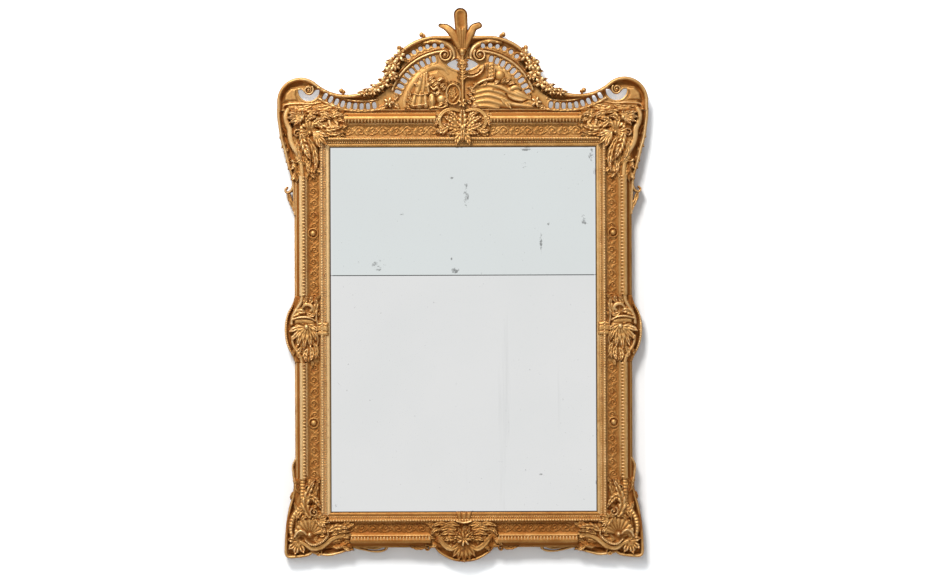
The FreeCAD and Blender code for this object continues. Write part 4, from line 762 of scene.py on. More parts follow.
def carvePlume():
    p = plume
    relief = Relief(-94, 86, -14, p["height"] + 2, 1.4)
    tip = p["height"] - p["lobe"] / 2 - 1
    # side lobes turn outward from a broad cup, the middle one rounds over at the top
    for side, reach, end in ((-1, 1.06, 0.50), (1, 0.90, 0.80)):
        relief.roll(smoothLine([(3 * side, -4), (10 * side, 24), (23 * side, 52), (37 * side, 78), (54 * side * reach, 97), (76 * side * reach, 105)]),
                    32, p["base"] - 5, p["rise"] * 0.8, (0.6, 0.95, 1.05, 1.05, 0.9, end), 0, 0.22)
    relief.roll(smoothLine([(0, 2), (0, 46), (0, 92), (0, tip)]), p["lobe"], p["base"], p["rise"], (0.50, 0.74, 0.94, 1.0), 0, 0.20)
    for x in (-9, 0, 9):
        relief.sink(smoothLine([(x * 0.5, 12), (x, 52), (x * 1.3, 92)]), 6, 2.4)
    relief.sink(smoothLine([(0, 104), (0, tip)]), 34, 6)
    relief.shade(smoothLine([(0, 112), (0, tip + 10)]), 44, -0.16)
    relief.bead(0, 4, 14, p["base"], 18)
    for side in (-1, 1):
        relief.leaf([(0, 2), (10 * side, 12), (20 * side, 8)], 14, p["base"], 16, 2)
    relief.bias -= 0.15
    return relief


plumeRelief = carvePlume()
across = np.clip(np.maximum(plumeRelief.inside, 0) / 10, 0, 1)
plumeBack = 46 - 14 * across ** 0.6 + 18 * np.clip(plumeRelief.gz / plume["height"], 0, 1) ** 2
plumeShape = placed(cutRelief(plumeRelief, plumeBack), 0, crestFoot + plume["foot"])
plumeShape[0][:, 0] -= plume["lean"] * np.clip(plumeShape[0][:, 2] - (crestFoot + plume["foot"]) / 1000, 0, 1)
dress(makePiece("crestPlume", *plumeShape, carvedGilt), "crest_plume")


swag = {
    "base": 41.0, "rise": 22.0, "seed": 4, "step": 1.7,
    # flowers: middle x and z, radius and turn
    "blooms": [(-245, 213, 23, 20), (-276, 184, 24, 95), (-257, 174, 15, 40), (-282, 150, 24, 60), (-266, 132, 15, 10), (-304, 108, 23, 35),
               (-330, 91, 20, 80), (-347, 76, 16, 15), (-380, 70, 14, 50)],
    # leaf tips that break the outline, each with the foot of its leaf
    "tips": [(-246, 214, -250, 252), (-270, 188, -296, 197), (-284, 150, -314, 154), (-304, 110, -330, 126), (-330, 92, -361, 103), (-346, 78, -389, 85),
             (-380, 68, -409, 74)],
}


def carveSwag():
    # flowers and pointed leaves strung down the flank of the hump and into the valley
    relief = Relief(-420, -206, 30, 262, swag["step"])
    chance = np.random.default_rng(swag["seed"])
    for x, z, radius, turn in swag["blooms"]:
        for way in (-1, 0, 1):
            heading = math.radians(-40 + way * 75 + chance.uniform(-25, 25))
            tip = (x + radius * 1.6 * math.cos(heading), z + radius * 1.4 * math.sin(heading))
            relief.leaf([(x, z), ((x + tip[0]) / 2, (z + tip[1]) / 2 + 2), tip], radius * 0.85, swag["base"] - 5, 18, 2)
    for x, z, tipX, tipZ in swag["tips"]:
        relief.leaf([(x, z), ((x + tipX) / 2 + 2, (z + tipZ) / 2 + 2), (tipX, tipZ)], 15, swag["base"] - 3, 15, 2)
    for x, z, radius, turn in swag["blooms"]:
        relief.flower(x, z, radius, 5, swag["base"], swag["rise"], turn)
    for x, z in ((-264, 160), (-290, 130), (-318, 104), (-268, 206), (-362, 70)):
        relief.bead(x, z, 7, swag["base"], 15)
    relief.bias += 0.12
    return relief


dressPair("crestSwag", placed(cutRelief(carveSwag(), 33), 0, crestFoot), "crest_swag")


def carveShield():
    # an oval boss in a leafy wreath, beside the middle stem
    relief = Relief(-74, 40, 14, 240, 1.5)
    relief.roll(smoothLine([(0, 20), (0, 90), (0, 160), (0, 234)]), 15, 35, 15, (1.2, 1, 0.9, 1.1))
    turn = np.linspace(0, 2 * math.pi, 40)
    oval = np.stack([-36 + 27 * np.cos(turn), 65 + 39 * np.sin(turn)], 1)
    relief.bed(oval[:-1], 45, 5)
    relief.roll(oval, 9, 44, 10)
    relief.shade([(-36, 84), (-36, 50)], 40, -0.14)
    for x, z in ((-50, 74), (-44, 90), (-30, 88), (-24, 70), (-30, 48), (-46, 50)):
        relief.leaf([(-37, 64), ((x - 37) / 2, (z + 66) / 2), (x, z)], 13, 44, 8, 1)
    relief.roll(smoothLine([(-16, 64), (-26, 52), (-38, 38)]), 11, 42, 12, (0.5, 1, 0.9))
    for x, z in ((-62, 112), (-46, 118), (-28, 116), (-12, 108)):
        relief.leaf([(-36, 100), ((x - 36) / 2, (z + 102) / 2 + 3), (x, z)], 16, 40, 14, 2)
    for z in (30, 122, 142, 162):
        for side in (-1, 1):
            relief.leaf([(0, z), (10 * side, z + 10), (22 * side, z + 10)], 15, 37, 16, 2)
    relief.fan(0, 186, [(-24, 196), (24, 196), (-22, 178), (22, 178)], 15, 38, 16)
    relief.flower(0, 28, 16, 5, 42, 16)
    relief.bead(0, 222, 11, 42, 16)
    return relief


def carveBannerRight():
    # a broad cloth that streams to the right in soft folds, with a bowl edge and a tassel above it
    relief = Relief(0, 300, 2, 190, 1.7)
    relief.bed([(8, 8), (8, 128), (60, 136), (92, 184), (124, 184), (176, 128), (236, 84), (286, 12)], 36, 3)
    relief.bed([(40, 12), (40, 92), (70, 108), (120, 106), (166, 92), (206, 98), (236, 74), (262, 40), (290, 10)], 43, 9)
    for points, width, rise in (
        ([(46, 88), (96, 102), (146, 92), (186, 72), (226, 58), (262, 46)], 15, 5), ([(46, 70), (98, 82), (148, 72), (196, 48), (246, 36), (276, 30)], 17, 6),
        ([(46, 52), (98, 62), (146, 50), (190, 28), (240, 20), (270, 16)], 16, 6), ([(46, 34), (98, 40), (146, 28), (184, 12)], 15, 5),
        ([(44, 18), (90, 20), (140, 10)], 12, 4), ([(182, 80), (204, 92), (222, 88)], 18, 7), ([(200, 78), (226, 66), (248, 56)], 14, 5),
    ):
        relief.roll(smoothLine(points), width, 42, rise, (0.5, 0.9, 1, 0.9, 0.5))
    for line, width, depth in (
        ([(168, 66), (180, 48), (204, 36), (232, 34), (250, 40)], 8, 7), ([(120, 84), (150, 78), (172, 64)], 7, 4),
    ):
        relief.sink(smoothLine(line), width, depth)
        relief.shade(smoothLine(line), width + 4, -0.14)
    relief.leaf([(152, 48), (170, 30), (188, 8)], 26, 42, 10, 2)
    for x, z, tipX, tipZ in ((60, 96, 44, 106), (48, 70, 30, 76), (46, 44, 28, 48), (56, 20, 36, 16), (126, 104, 142, 114), (84, 100, 96, 112)):
        relief.leaf([(x, z), ((x + tipX) / 2, (z + tipZ) / 2 + 3), (tipX, tipZ)], 15, 42, 10, 2)
    # the bowl's double edge, a painted shadow under it and the ribbon
    relief.shade([(16, 112), (52, 114)], 36, -0.20)
    relief.roll(smoothLine([(6, 137), (34, 132), (58, 140), (76, 156), (84, 180)]), 9, 38, 15, (0.8, 1, 1, 0.8))
    relief.roll(smoothLine([(12, 150), (38, 145), (58, 152), (68, 164)]), 7, 38, 12, (0.7, 1, 0.7))
    relief.roll(smoothLine([(38, 86), (50, 98), (66, 110), (88, 120), (118, 126)]), 12, 40, 15, (0.6, 1, 1, 0.8))
    # tassel and dome
    relief.roll([(110, 130), (110, 178)], 28, 38, 9, (1.1, 0.9))
    for z in (136, 150, 164, 176):
        relief.bead(106, z, 4.2, 44, 7)
        relief.bead(117, z + 5, 3.6, 44, 6)
    relief.roll([(95, 132), (96, 182)], 5, 40, 11)
    relief.roll([(124, 132), (125, 164)], 5, 40, 10)
    relief.bead(146, 138, 20, 37, 11)
    relief.shade([(142, 138), (152, 138)], 30, -0.12)
    for x, z, tipX, tipZ in ((168, 112, 190, 124), (180, 104, 208, 108), (156, 112, 168, 128), (36, 84, 22, 92), (30, 30, 14, 40), (34, 60, 20, 66)):
        relief.leaf([(x, z), ((x + tipX) / 2, (z + tipZ) / 2 + 3), (tipX, tipZ)], 15, 38, 15, 2)
    return relief


def carveBannerLeft():
    # a draped coat with a beaded hem, a vessel and a ball beside it, under the arch band
    relief = Relief(-240, -44, 2, 186, 1.7)
    relief.bed([(-226, 6), (-212, 60), (-190, 112), (-150, 152), (-96, 158), (-58, 128), (-52, 8)], 36, 3)
    relief.bed([(-134, 148), (-98, 157), (-62, 128), (-60, 106), (-92, 108), (-124, 106)], 38, 8)
    relief.bed([(-190, 70), (-178, 114), (-152, 144), (-138, 146), (-130, 104), (-128, 70)], 45, 12)
    relief.bed([(-198, 14), (-190, 58), (-178, 72), (-138, 72), (-136, 18)], 45, 9)
    for points, width, rise in (
        ([(-140, 148), (-138, 112), (-132, 74)], 9, 6), ([(-158, 138), (-166, 108), (-176, 74)], 17, 5), ([(-148, 142), (-150, 106), (-154, 74)], 12, 4),
        ([(-182, 70), (-188, 46), (-194, 24)], 15, 6), ([(-164, 72), (-166, 46), (-170, 22)], 19, 5), ([(-146, 72), (-145, 46), (-142, 22)], 14, 6),
    ):
        relief.roll(smoothLine(points), width, 44, rise, (0.5, 1, 1.1))
    relief.roll(smoothLine([(-190, 68), (-166, 62), (-134, 68)]), 7, 44, 9, (0.7, 1, 0.7))
    for index in range(8):
        relief.bead(-190 + index * 6.8, 20 + 0.9 * index, 4.0, 45, 8)
    relief.roll([(-119, 20), (-119, 58)], 32, 38, 11, (0.75, 1.05, 0.75))
    for x in (-126, -115):
        relief.roll(smoothLine([(x, 22), (x + 1, 40), (x, 56)]), 6, 45, 6, (0.6, 1, 0.6))
    relief.bead(-82, 46, 19, 39, 14)
    relief.shade(smoothLine([(-102, 62), (-104, 42), (-96, 26)]), 8, -0.20)
    relief.roll(smoothLine([(-126, 98), (-112, 84), (-100, 92), (-86, 76)]), 11, 39, 13, (0.6, 1, 1, 0.6))
    relief.roll(smoothLine([(-122, 76), (-106, 68), (-92, 72), (-78, 66)]), 8, 40, 12, (0.6, 1, 0.7))
    relief.shade([(-124, 84), (-118, 78)], 10, -0.30)
    for x, z, tipX, tipZ in ((-84, 92, -70, 104), (-96, 98, -98, 114), (-74, 84, -62, 92), (-200, 24, -222, 44), (-206, 10, -226, 16), (-204, 56, -214, 78), (-70, 20, -56, 26)):
        relief.leaf([(x, z), ((x + tipX) / 2, (z + tipZ) / 2 + 3), (tipX, tipZ)], 16, 38, 14, 2)
    relief.roll(smoothLine([(-130, 10), (-104, 16), (-84, 12), (-58, 20)]), 9, 39, 11, (0.7, 1, 0.8))
    for x, z, tipX, tipZ in ((-130, 120, -112, 132), (-124, 108, -100, 120), (-112, 100, -88, 108), (-96, 118, -74, 124), (-100, 62, -88, 78), (-90, 22, -72, 30),
                             (-142, 96, -124, 102), (-172, 96, -186, 106), (-160, 120, -172, 130), (-196, 40, -212, 52), (-64, 52, -54, 66), (-66, 34, -54, 42)):
        relief.leaf([(x, z), ((x + tipX) / 2, (z + tipZ) / 2 + 3), (tipX, tipZ)], 13, 43, 10, 2)
    return relief


dress(makePiece("crestShield", *placed(cutRelief(carveShield(), 32), 0, crestFoot), carvedGilt), "crest_shield")
dress(makePiece("crestBannerRight", *placed(cutRelief(carveBannerRight(), 31), 0, crestFoot), carvedGilt), "crest_banner_right")
dress(makePiece("crestBannerLeft", *placed(cutRelief(carveBannerLeft(), 31), 0, crestFoot), carvedGilt), "crest_banner_left")
print("crest carving planted")


# mouldings, swept along the four members

moulding = {
    "ribPitch": 12.4, "ribSize": (3.5, 5.4, 10.4), "ribAcross": 101.0, "ribHeight": 57.4,    # size along, forward and across
    "beadPitch": 10.6, "beadSize": 4.2, "fineBeadPitch": 8.4, "fineBeadSize": 3.0,
}
runs = {
    # where each run of the outer moulding starts and stops along its member
    "left_upper": (910.5, 1375.5), "left_lower": (201.5, 650.5),
    "top_left": (-459.0, -105.0), "bottom_left": (-440.0, -130.0),
}


def bowed(first, last, sag, tone, count=8):
    # points of a curve between two section points; sag is positive to the left of the way from first to last
    (av, ah), (bv, bh) = first, last
    long = math.hypot(bv - av, bh - ah)
    side = (-(bh - ah) / long, (bv - av) / long)
    return [(av + (bv - av) * t + side[0] * sag * 4 * t * (1 - t), ah + (bh - ah) * t + side[1] * sag * 4 * t * (1 - t), tone)
            for t in np.linspace(0, 1, count)]


# section points (across, forward, tone) run outward along the back, then home over the front;
# crowns get a bright tone, rubbed gilding with painted highlight, and hollows a dark one, dirt with painted shade
sightSection = ([(0, 38, 0.3), (39, 38, 0.3), (39, 42, 0.3), (34.3, 42, 0.2)] + bowed((34.3, 54), (25, 54), -1.6, 0.66)
                + bowed((23.4, 50.8), (9.4, 45.2), 1.6, 0.58) + bowed((9.4, 46.8), (0, 44.4), -1.4, 0.66))
outerSection = ([(89, 38, 0.3), (131, 38, 0.3)] + [(131, 41.2, 0.50), (128.2, 42.0, 0.50)] + bowed((128.0, 41.4), (116.5, 56.5), 4.4, 0.05)
                + bowed((116.5, 59.0), (94.9, 52.5), -6.4, 0.66, 12) + [(94.9, 47.6, 0.30), (89, 47.6, 0.66)])


outerSection = [(v, h, 0.44 if 95 < v < 109 else tone) for v, h, tone in outerSection]
# painted light and shade on each member's mouldings: the left lighter, the top and bottom darker
paintedSideLight = {"left": 1.50, "right": 1.0, "top": 0.70, "bottom": 0.44}


def memberPoint(side, along, v):
    if side == "left":
        return -frameSize["sightHalf"] - v, along
    if side == "right":
        return frameSize["sightHalf"] + v, along
    return along, frameSize["sightHigh"] + v if side == "top" else frameSize["sightLow"] - v


def sweep(side, section, start, stop, mitre):
    verts = []
    for end, lean in ((start, -mitre), (stop, mitre)):
        for v, h, tone in section:
            x, z = memberPoint(side, end + lean * v, v)
            verts.append((x / 1000, -h / 1000, z / 1000))
    count = len(section)
    faces = [[i, (i + 1) % count, count + (i + 1) % count, count + i] for i in range(count)]
    faces += [list(range(count - 1, -1, -1)), list(range(count, 2 * count))]
    if side in ("right", "bottom"):
        faces = [list(reversed(face)) for face in faces]
    return np.array(verts), faces, np.array([tone * paintedSideLight[side] for v, h, tone in section] * 2)


sightEnds = {"left": (frameSize["sightLow"], frameSize["sightHigh"])}
sightEnds["right"] = sightEnds["left"]
sightEnds["top"] = sightEnds["bottom"] = (-frameSize["sightHalf"], frameSize["sightHalf"])
for side, (start, stop) in sightEnds.items():
    dress(makePiece(f"sightMoulding{side.title()}", *sweep(side, sightSection, start, stop, 1), carvedGilt, 28),
          f"sight_moulding_{side}")
for name, (start, stop) in runs.items():
    first, second = name.split("_")
    if first == "left":
        for side in ("left", "right"):
            dress(makePiece(f"outerMoulding{side.title()}{second.title()}", *sweep(side, outerSection, start, stop, 0),
                            carvedGilt, 28), f"outer_moulding_{side}_{second}")
    else:
        dress(makePiece(f"outerMoulding{first.title()}Left", *sweep(first, outerSection, start, stop, 0), carvedGilt, 28),
              f"outer_moulding_{first}_left")
        dress(makePiece(f"outerMoulding{first.title()}Right", *sweep(first, outerSection, -stop, -start, 0), carvedGilt, 28),
              f"outer_moulding_{first}_right")
print("mouldings swept")


def repeatTree():
    # sets a small rounded form at an even pitch along every line of the mesh it is given
    tree = bpy.data.node_groups.new("repeatAlongLines", "GeometryNodeTree")
    tree.interface.new_socket("Geometry", in_out="INPUT", socket_type="NodeSocketGeometry")
    tree.interface.new_socket("Pitch", in_out="INPUT", socket_type="NodeSocketFloat")
    tree.interface.new_socket("Size", in_out="INPUT", socket_type="NodeSocketVector")
    tree.interface.new_socket("Tone", in_out="INPUT", socket_type="NodeSocketFloat")
    tree.interface.new_socket("Material", in_out="INPUT", socket_type="NodeSocketMaterial")
    tree.interface.new_socket("Geometry", in_out="OUTPUT", socket_type="NodeSocketGeometry")
    given = addNode(tree, "NodeGroupInput")
    curve = addNode(tree, "GeometryNodeMeshToCurve")
    spots = addNode(tree, "GeometryNodeCurveToPoints", mode="LENGTH")
    facing = addNode(tree, "FunctionNodeAlignRotationToVector", axis="X")
    ball = setSockets(addNode(tree, "GeometryNodeMeshUVSphere"), Segments=8, Rings=5, Radius=1.0)
    place = addNode(tree, "GeometryNodeInstanceOnPoints")
    real = addNode(tree, "GeometryNodeRealizeInstances")
    smooth = addNode(tree, "GeometryNodeSetShadeSmooth")
    store = setSockets(addNode(tree, "GeometryNodeStoreNamedAttribute", data_type="FLOAT", domain="POINT"), Name="tone")
    paint = addNode(tree, "GeometryNodeSetMaterial")
    done = addNode(tree, "NodeGroupOutput")
    link = tree.links.new
    link(given.outputs["Geometry"], curve.inputs["Mesh"])
    link(curve.outputs["Curve"], spots.inputs["Curve"])
    link(given.outputs["Pitch"], spots.inputs["Length"])
    link(spots.outputs["Tangent"], facing.inputs["Vector"])
    link(spots.outputs["Points"], place.inputs["Points"])
    link(ball.outputs["Mesh"], place.inputs["Instance"])
    link(facing.outputs["Rotation"], place.inputs["Rotation"])
    link(given.outputs["Size"], place.inputs["Scale"])
    link(place.outputs["Instances"], real.inputs["Geometry"])
    link(real.outputs["Geometry"], smooth.inputs["Geometry"])
    link(smooth.outputs["Geometry"], store.inputs["Geometry"])
    link(given.outputs["Tone"], store.inputs["Value"])
    link(store.outputs["Geometry"], paint.inputs["Geometry"])
    link(given.outputs["Material"], paint.inputs["Material"])
    link(paint.outputs["Geometry"], done.inputs["Geometry"])
    return tree


alongLines = repeatTree()


def repeated(name, lines, pitch, size, tone):
    # lines are lists of points in millimetres (x, h, z)
    verts, edges = [], []
    for line in lines:
        edges += [(len(verts) + i, len(verts) + i + 1) for i in range(len(line) - 1)]
        verts += [(x / 1000, -h / 1000, z / 1000) for x, h, z in line]
    mesh = bpy.data.meshes.new(name + "Lines")
    mesh.from_pydata(verts, edges, [])
    carrier = bpy.data.objects.new(name + "Lines", mesh)
    bpy.context.scene.collection.objects.link(carrier)
    modifier = carrier.modifiers.new("repeat", "NODES")
    modifier.node_group = alongLines
    values = {"Pitch": pitch / 1000, "Size": [length / 1000 for length in size], "Tone": tone, "Material": carvedGilt}
    for item in alongLines.interface.items_tree:
        if item.in_out == "INPUT" and item.name in values:
            modifier[item.identifier] = values[item.name]
    ready = carrier.evaluated_get(bpy.context.evaluated_depsgraph_get())
    plain = bpy.data.meshes.new_from_object(ready)
    carrier.modifiers.remove(modifier)
    bpy.data.objects.remove(carrier)
    plain.name = name
    piece = bpy.data.objects.new(name, plain)
    bpy.context.scene.collection.objects.link(piece)
    dress(piece)


def memberLine(side, start, stop, v, h):
    ends = [memberPoint(side, along, v) for along in (start, stop)]
    return [(x, h, z) for x, z in ends]


ribLines = []
for name, (start, stop) in runs.items():
    first = name.split("_")[0]
    for side in (("left", "right") if first == "left" else (first,)):
        ribLines.append(memberLine(side, start + 5, stop - 5, moulding["ribAcross"], moulding["ribHeight"]))
        if first != "left":
            ribLines.append(memberLine(side, -stop + 5, -start - 5, moulding["ribAcross"], moulding["ribHeight"]))
repeated("rollRibs", ribLines, moulding["ribPitch"], moulding["ribSize"], 0.70)


def sightLines(v, h):
    low, high, half = frameSize["sightLow"], frameSize["sightHigh"], frameSize["sightHalf"]
    return ([memberLine(side, low - v, high + v, v, h) for side in ("left", "right")]
            + [memberLine(side, -half - v, half + v, v, h) for side in ("top", "bottom")])


repeated("sightBeads", sightLines(29.6, 55.0), moulding["beadPitch"], (moulding["beadSize"],) * 3, 0.70)
repeated("sightFineBeads", sightLines(16.0, 49.6), moulding["fineBeadPitch"], (moulding["fineBeadSize"],) * 3, 0.64)
print("ribs and beads set")


# the flat frieze: scrolling stems on a hatched ground, and a plain hollow outside them

frieze = {"ground": 41.0, "period": 94.0, "stem": 5.0, "rise": 3.6, "coveTone": -0.06, "groundTone": -0.12, "coveStart": 70.0, "coveRise": 8.5, "carvedEdge": 84.0, "lowPaintedShade": 0.24, "stileDarkening": 0.13}


def carveFrieze(start, stop):
    f = frieze
    relief = Relief(start - 2, stop + 2, bedEdge - 2, rollEdge + 2, 1.8)
    relief.bed([(start, bedEdge), (stop, bedEdge), (stop, rollEdge), (start, rollEdge)], f["ground"])
    relief.hatch([(start, bedEdge + 2), (stop, bedEdge + 2), (stop, f["carvedEdge"]), (start, f["carvedEdge"])], 6.5, 1.0)
    hollow = np.clip((relief.gz - f["coveStart"]) / (rollEdge - f["coveStart"]), 0, 1)
    relief.height += np.where(hollow > 0, f["coveRise"] * hollow ** 2, 0)
    # painted shade in the cove and in the hatched ground
    relief.darkenArea([(start - 2, f["carvedEdge"]), (stop + 2, f["carvedEdge"]), (stop + 2, rollEdge + 2), (start - 2, rollEdge + 2)], f["coveTone"])
    relief.darkenArea([(start - 2, bedEdge - 2), (stop + 2, bedEdge - 2), (stop + 2, f["carvedEdge"]), (start - 2, f["carvedEdge"])], f["groundTone"])
    middle = (bedEdge + f["carvedEdge"]) / 2 - 1
    count = max(int(round((stop - start) / f["period"])) * 2, 2)
    half = (stop - start) / count
    for index in range(count):
        way = 1 if index % 2 else -1
        t0 = start + index * half
        stem = [(t0, middle - way * 2), (t0 + half * 0.28, middle + way * 14), (t0 + half * 0.60, middle + way * 13), (t0 + half, middle + way * 2)]
        relief.roll(smoothLine(stem), f["stem"], f["ground"] - 0.5, f["rise"], (0.8, 1.1, 0.8))
        relief.roll(spiralLine(t0 + half * 0.52, middle - way * 3, 13, 3.0, 90 * way, -way * 430), 5.4, f["ground"], f["rise"])
        relief.leaf([(t0 + half * 0.86, middle), (t0 + half * 0.98, middle - way * 11), (t0 + half * 1.10, middle - way * 16)], 12,
                    f["ground"] - 0.5, f["rise"], 2)
        relief.leaf([(t0 + half * 0.10, middle), (t0 + half * 0.22, middle - way * 11), (t0 + half * 0.30, middle - way * 16)], 11,
                    f["ground"] - 0.5, f["rise"], 2)
        relief.bead(t0 + half * 0.02, middle, 4.2, f["ground"], f["rise"])
    return cutRelief(relief, frameSize["carcassFront"] - 0.5)


def turned(shape, xFrom, zFrom):
    # puts a strip drawn along x and across z on its member; each target axis is (source, sign, offset)
    verts, faces, tones = shape
    out = verts.copy()
    for target, (source, sign, offset) in ((0, xFrom), (2, zFrom)):
        out[:, target] = verts[:, source] * sign + offset / 1000
    if xFrom[0] == 0 and xFrom[1] * zFrom[1] < 0 or xFrom[0] == 2 and xFrom[1] * zFrom[1] > 0:
        faces = [list(reversed(face)) for face in faces]
    return out, faces, tones


stileStrip = carveFrieze(runs["left_lower"][0] - 8, runs["left_upper"][1] + 8)
# the stile friezes are darker
leftStrip = turned((stileStrip[0], stileStrip[1], stileStrip[2] - frieze["stileDarkening"]), (2, -1, -frameSize["sightHalf"]), (0, 1, 0))
dress(makePiece("friezeLeft", *leftStrip, carvedGilt))
dress(makePiece("friezeRight", *flipped(leftStrip), carvedGilt))
railStrip = carveFrieze(runs["top_left"][0] - 8, -runs["top_left"][0] + 8)
dress(makePiece("friezeTop", *turned(railStrip, (0, 1, 0), (2, 1, frameSize["sightHigh"])), carvedGilt))
# the bottom frieze is darker, painted shade low on the frame
lowStrip = turned((railStrip[0], railStrip[1], railStrip[2] - frieze["lowPaintedShade"]), (0, 1, 0), (2, -1, frameSize["sightLow"]))
dress(makePiece("friezeBottom", *lowStrip, carvedGilt))


boss = {"radius": 23.0, "ring": 9.0, "ringRise": 6.0, "domeRise": 12.0, "across": 582.0, "levels": (1152.3, 417.0)}


def carveBoss():
    relief = Relief(-28, 28, -28, 28, 1.4)
    outer = boss["radius"] - boss["ring"] / 2
    relief.bead(0, 0, boss["radius"], 40, 2)
    relief.roll(arcLine(0, 0, outer, 0, 360, 40), boss["ring"], 41, boss["ringRise"], (1, 1))
    relief.bead(0, 0, outer - 6, 41, boss["domeRise"])
    relief.shade(arcLine(0, 0, outer - 5, 0, 360, 40), 7, -0.30)
    relief.bias -= 0.14
    return cutRelief(relief, frameSize["carcassFront"] - 0.5)


bossShape = carveBoss()
allVerts, allFaces, allTones = [], [], []
for x in (-boss["across"], boss["across"]):
    for z in boss["levels"]:
        verts, faces, tones = placed(bossShape, x, z)
        shift = sum(len(part) for part in allVerts)
        allVerts.append(verts)
        allFaces += [[corner + shift for corner in face] for face in faces]
        allTones.append(tones)
dress(makePiece("friezeBosses", np.vstack(allVerts), allFaces, np.concatenate(allTones), carvedGilt), "frieze_bosses")
print("frieze carved")


# corner ornaments and cartouches; the left ones are drawn and turned over for the right

ornament = {"bed": 45.0, "floor": 27.0, "rim": 13.0, "rimRise": 14.0, "sightTop": 53.0, "edgeBack": 12.0, "carved": 46.5}


def memberBack(relief):
    # ornaments lie on the frame inside its edge and hang in front of the wall outside it
    s = frameSize
    over = (np.abs(relief.gx) > s["halfWidth"]) | (relief.gz < s["bottom"]) | (relief.gz > s["top"])
    return np.where(over, ornament["edgeBack"], s["carcassFront"] - 0.5)


def upperCorner():
    o = ornament
    up = o["carved"]
    relief = Relief(-727, -440, 1216, 1642, 1.7)
    bed = [(-655, 1625), (-655, 1375), (-559, 1375), (-559, 1529), (-459, 1529), (-459, 1625)]
    relief.bed(bed, o["bed"], 4)
    rimLine = smoothLine([(-715, 1634), (-713, 1599), (-708, 1560), (-702, 1520), (-690, 1478), (-682, 1444), (-674, 1413),
                          (-664, 1382), (-659, 1350), (-656, 1290), (-654, 1226)])
    relief.bed(np.vstack([rimLine, [(-640, 1226), (-640, 1634)]]), o["floor"])
    relief.sprigs(bed, 84, 26, o["bed"], 11, awayFrom(-655, 1625), 11)
    relief.roll(rimLine, o["rim"], 33, o["rimRise"], (1.1, 1.05, 1, 0.9, 0.7, 0.55))
    for x, z in ((-706, 1529), (-698, 1492), (-687, 1470), (-682, 1436), (-674, 1408)):
        relief.leaf([(x + 7, z + 9), (x - 1, z), (x - 6, z - 7)], 10, 34, 12, 1)
    relief.leaf([(-700, 1568), (-688, 1556), (-687, 1534)], 15, 30, 14, 2)
    relief.shade(smoothLine([(-703, 1636), (-702, 1604), (-694, 1573), (-687, 1544), (-681, 1513), (-671, 1482), (-656, 1446), (-646, 1420), (-644, 1384), (-643, 1330)]), 15, -0.36)
    # the broad band that winds down beside the wing
    relief.roll(smoothLine([(-678, 1632), (-686, 1606), (-681, 1578), (-671, 1555), (-668, 1524), (-661, 1498), (-646, 1472), (-635, 1448),
                            (-628, 1424), (-625, 1398), (-624, 1369)]), 21, 42, 18, (0.9, 1.05, 1.1, 1.05, 1, 0.9, 0.95), 0, 0.2)
    relief.fan(-622, 1599, [(-676, 1620), (-680, 1600), (-670, 1582), (-652, 1573), (-646, 1622), (-624, 1628)], 21, up + 2, 20)
    relief.bead(-622, 1599, 10, up + 4, 17)
    relief.leaf([(-613, 1612), (-584, 1622), (-552, 1618)], 22, up, 17, 2)
    relief.leaf([(-560, 1618), (-534, 1618), (-510, 1604)], 20, up, 16, 2)
    relief.roll(smoothLine([(-518, 1588), (-512, 1570), (-496, 1566), (-486, 1576), (-494, 1586)]), 13, up + 1, 16, (0.8, 1, 0.7), 0, 0.3)
    relief.leaf([(-606, 1588), (-590, 1604), (-566, 1602)], 24, up + 1, 18, 4)
    relief.leaf([(-576, 1578), (-556, 1592), (-532, 1594)], 24, up, 17, 4)
    relief.leaf([(-548, 1604), (-530, 1606), (-514, 1596)], 18, up, 14, 3)
    relief.shell(-592, 1542, 42, 60, 160, 8, up - 1, 14, 0.12)
    relief.leaf([(-560, 1578), (-522, 1556), (-466, 1566)], 28, up, 18, 5)
    relief.leaf([(-540, 1546), (-502, 1538), (-462, 1544)], 20, up, 15, 4)
    relief.leaf([(-506, 1604), (-484, 1614), (-461, 1606)], 20, up, 16, 3)
    relief.leaf([(-486, 1590), (-474, 1592), (-460, 1584)], 15, up, 14, 2)
    relief.leaf([(-624, 1532), (-612, 1490), (-590, 1438)], 36, up + 1, 22, 5)
    relief.leaf([(-596, 1516), (-578, 1480), (-568, 1430), (-574, 1390)], 26, up, 18, 5)
    relief.leaf([(-642, 1502), (-638, 1466), (-622, 1430)], 20, up, 16, 3)
    relief.leaf([(-592, 1432), (-600, 1408), (-594, 1380)], 20, up - 2, 14, 3)
    relief.scroll(-640, 1540, 15, 60, 430, 8, up, 20)
    relief.scroll(-598, 1474, 10, 250, -400, 6, up + 4, 17)
    relief.fan(-574, 1540, [(-524, 1526), (-526, 1494), (-553, 1484)], 28, o["sightTop"], 15)
    relief.roll(smoothLine([(-660, 1434), (-646, 1428), (-632, 1436)]), 9, 44, 15)
    for x, z in ((-604, 1618), (-536, 1558), (-560, 1560), (-612, 1560), (-606, 1502)):
        relief.sink([(x - 3, z), (x + 3, z - 2)], 12, 8)
    # hooked scroll and bud where the wing ends
    relief.roll(smoothLine([(-656, 1356), (-661, 1330), (-671, 1315), (-683, 1312), (-690, 1321), (-683, 1331)]), 10, 30, 13, (0.8, 1.1, 1, 0.8))
    relief.leaf([(-678, 1309), (-672, 1284), (-660, 1256), (-654, 1228)], 18, 30, 12, 3)
    return cutRelief(relief, memberBack(relief))


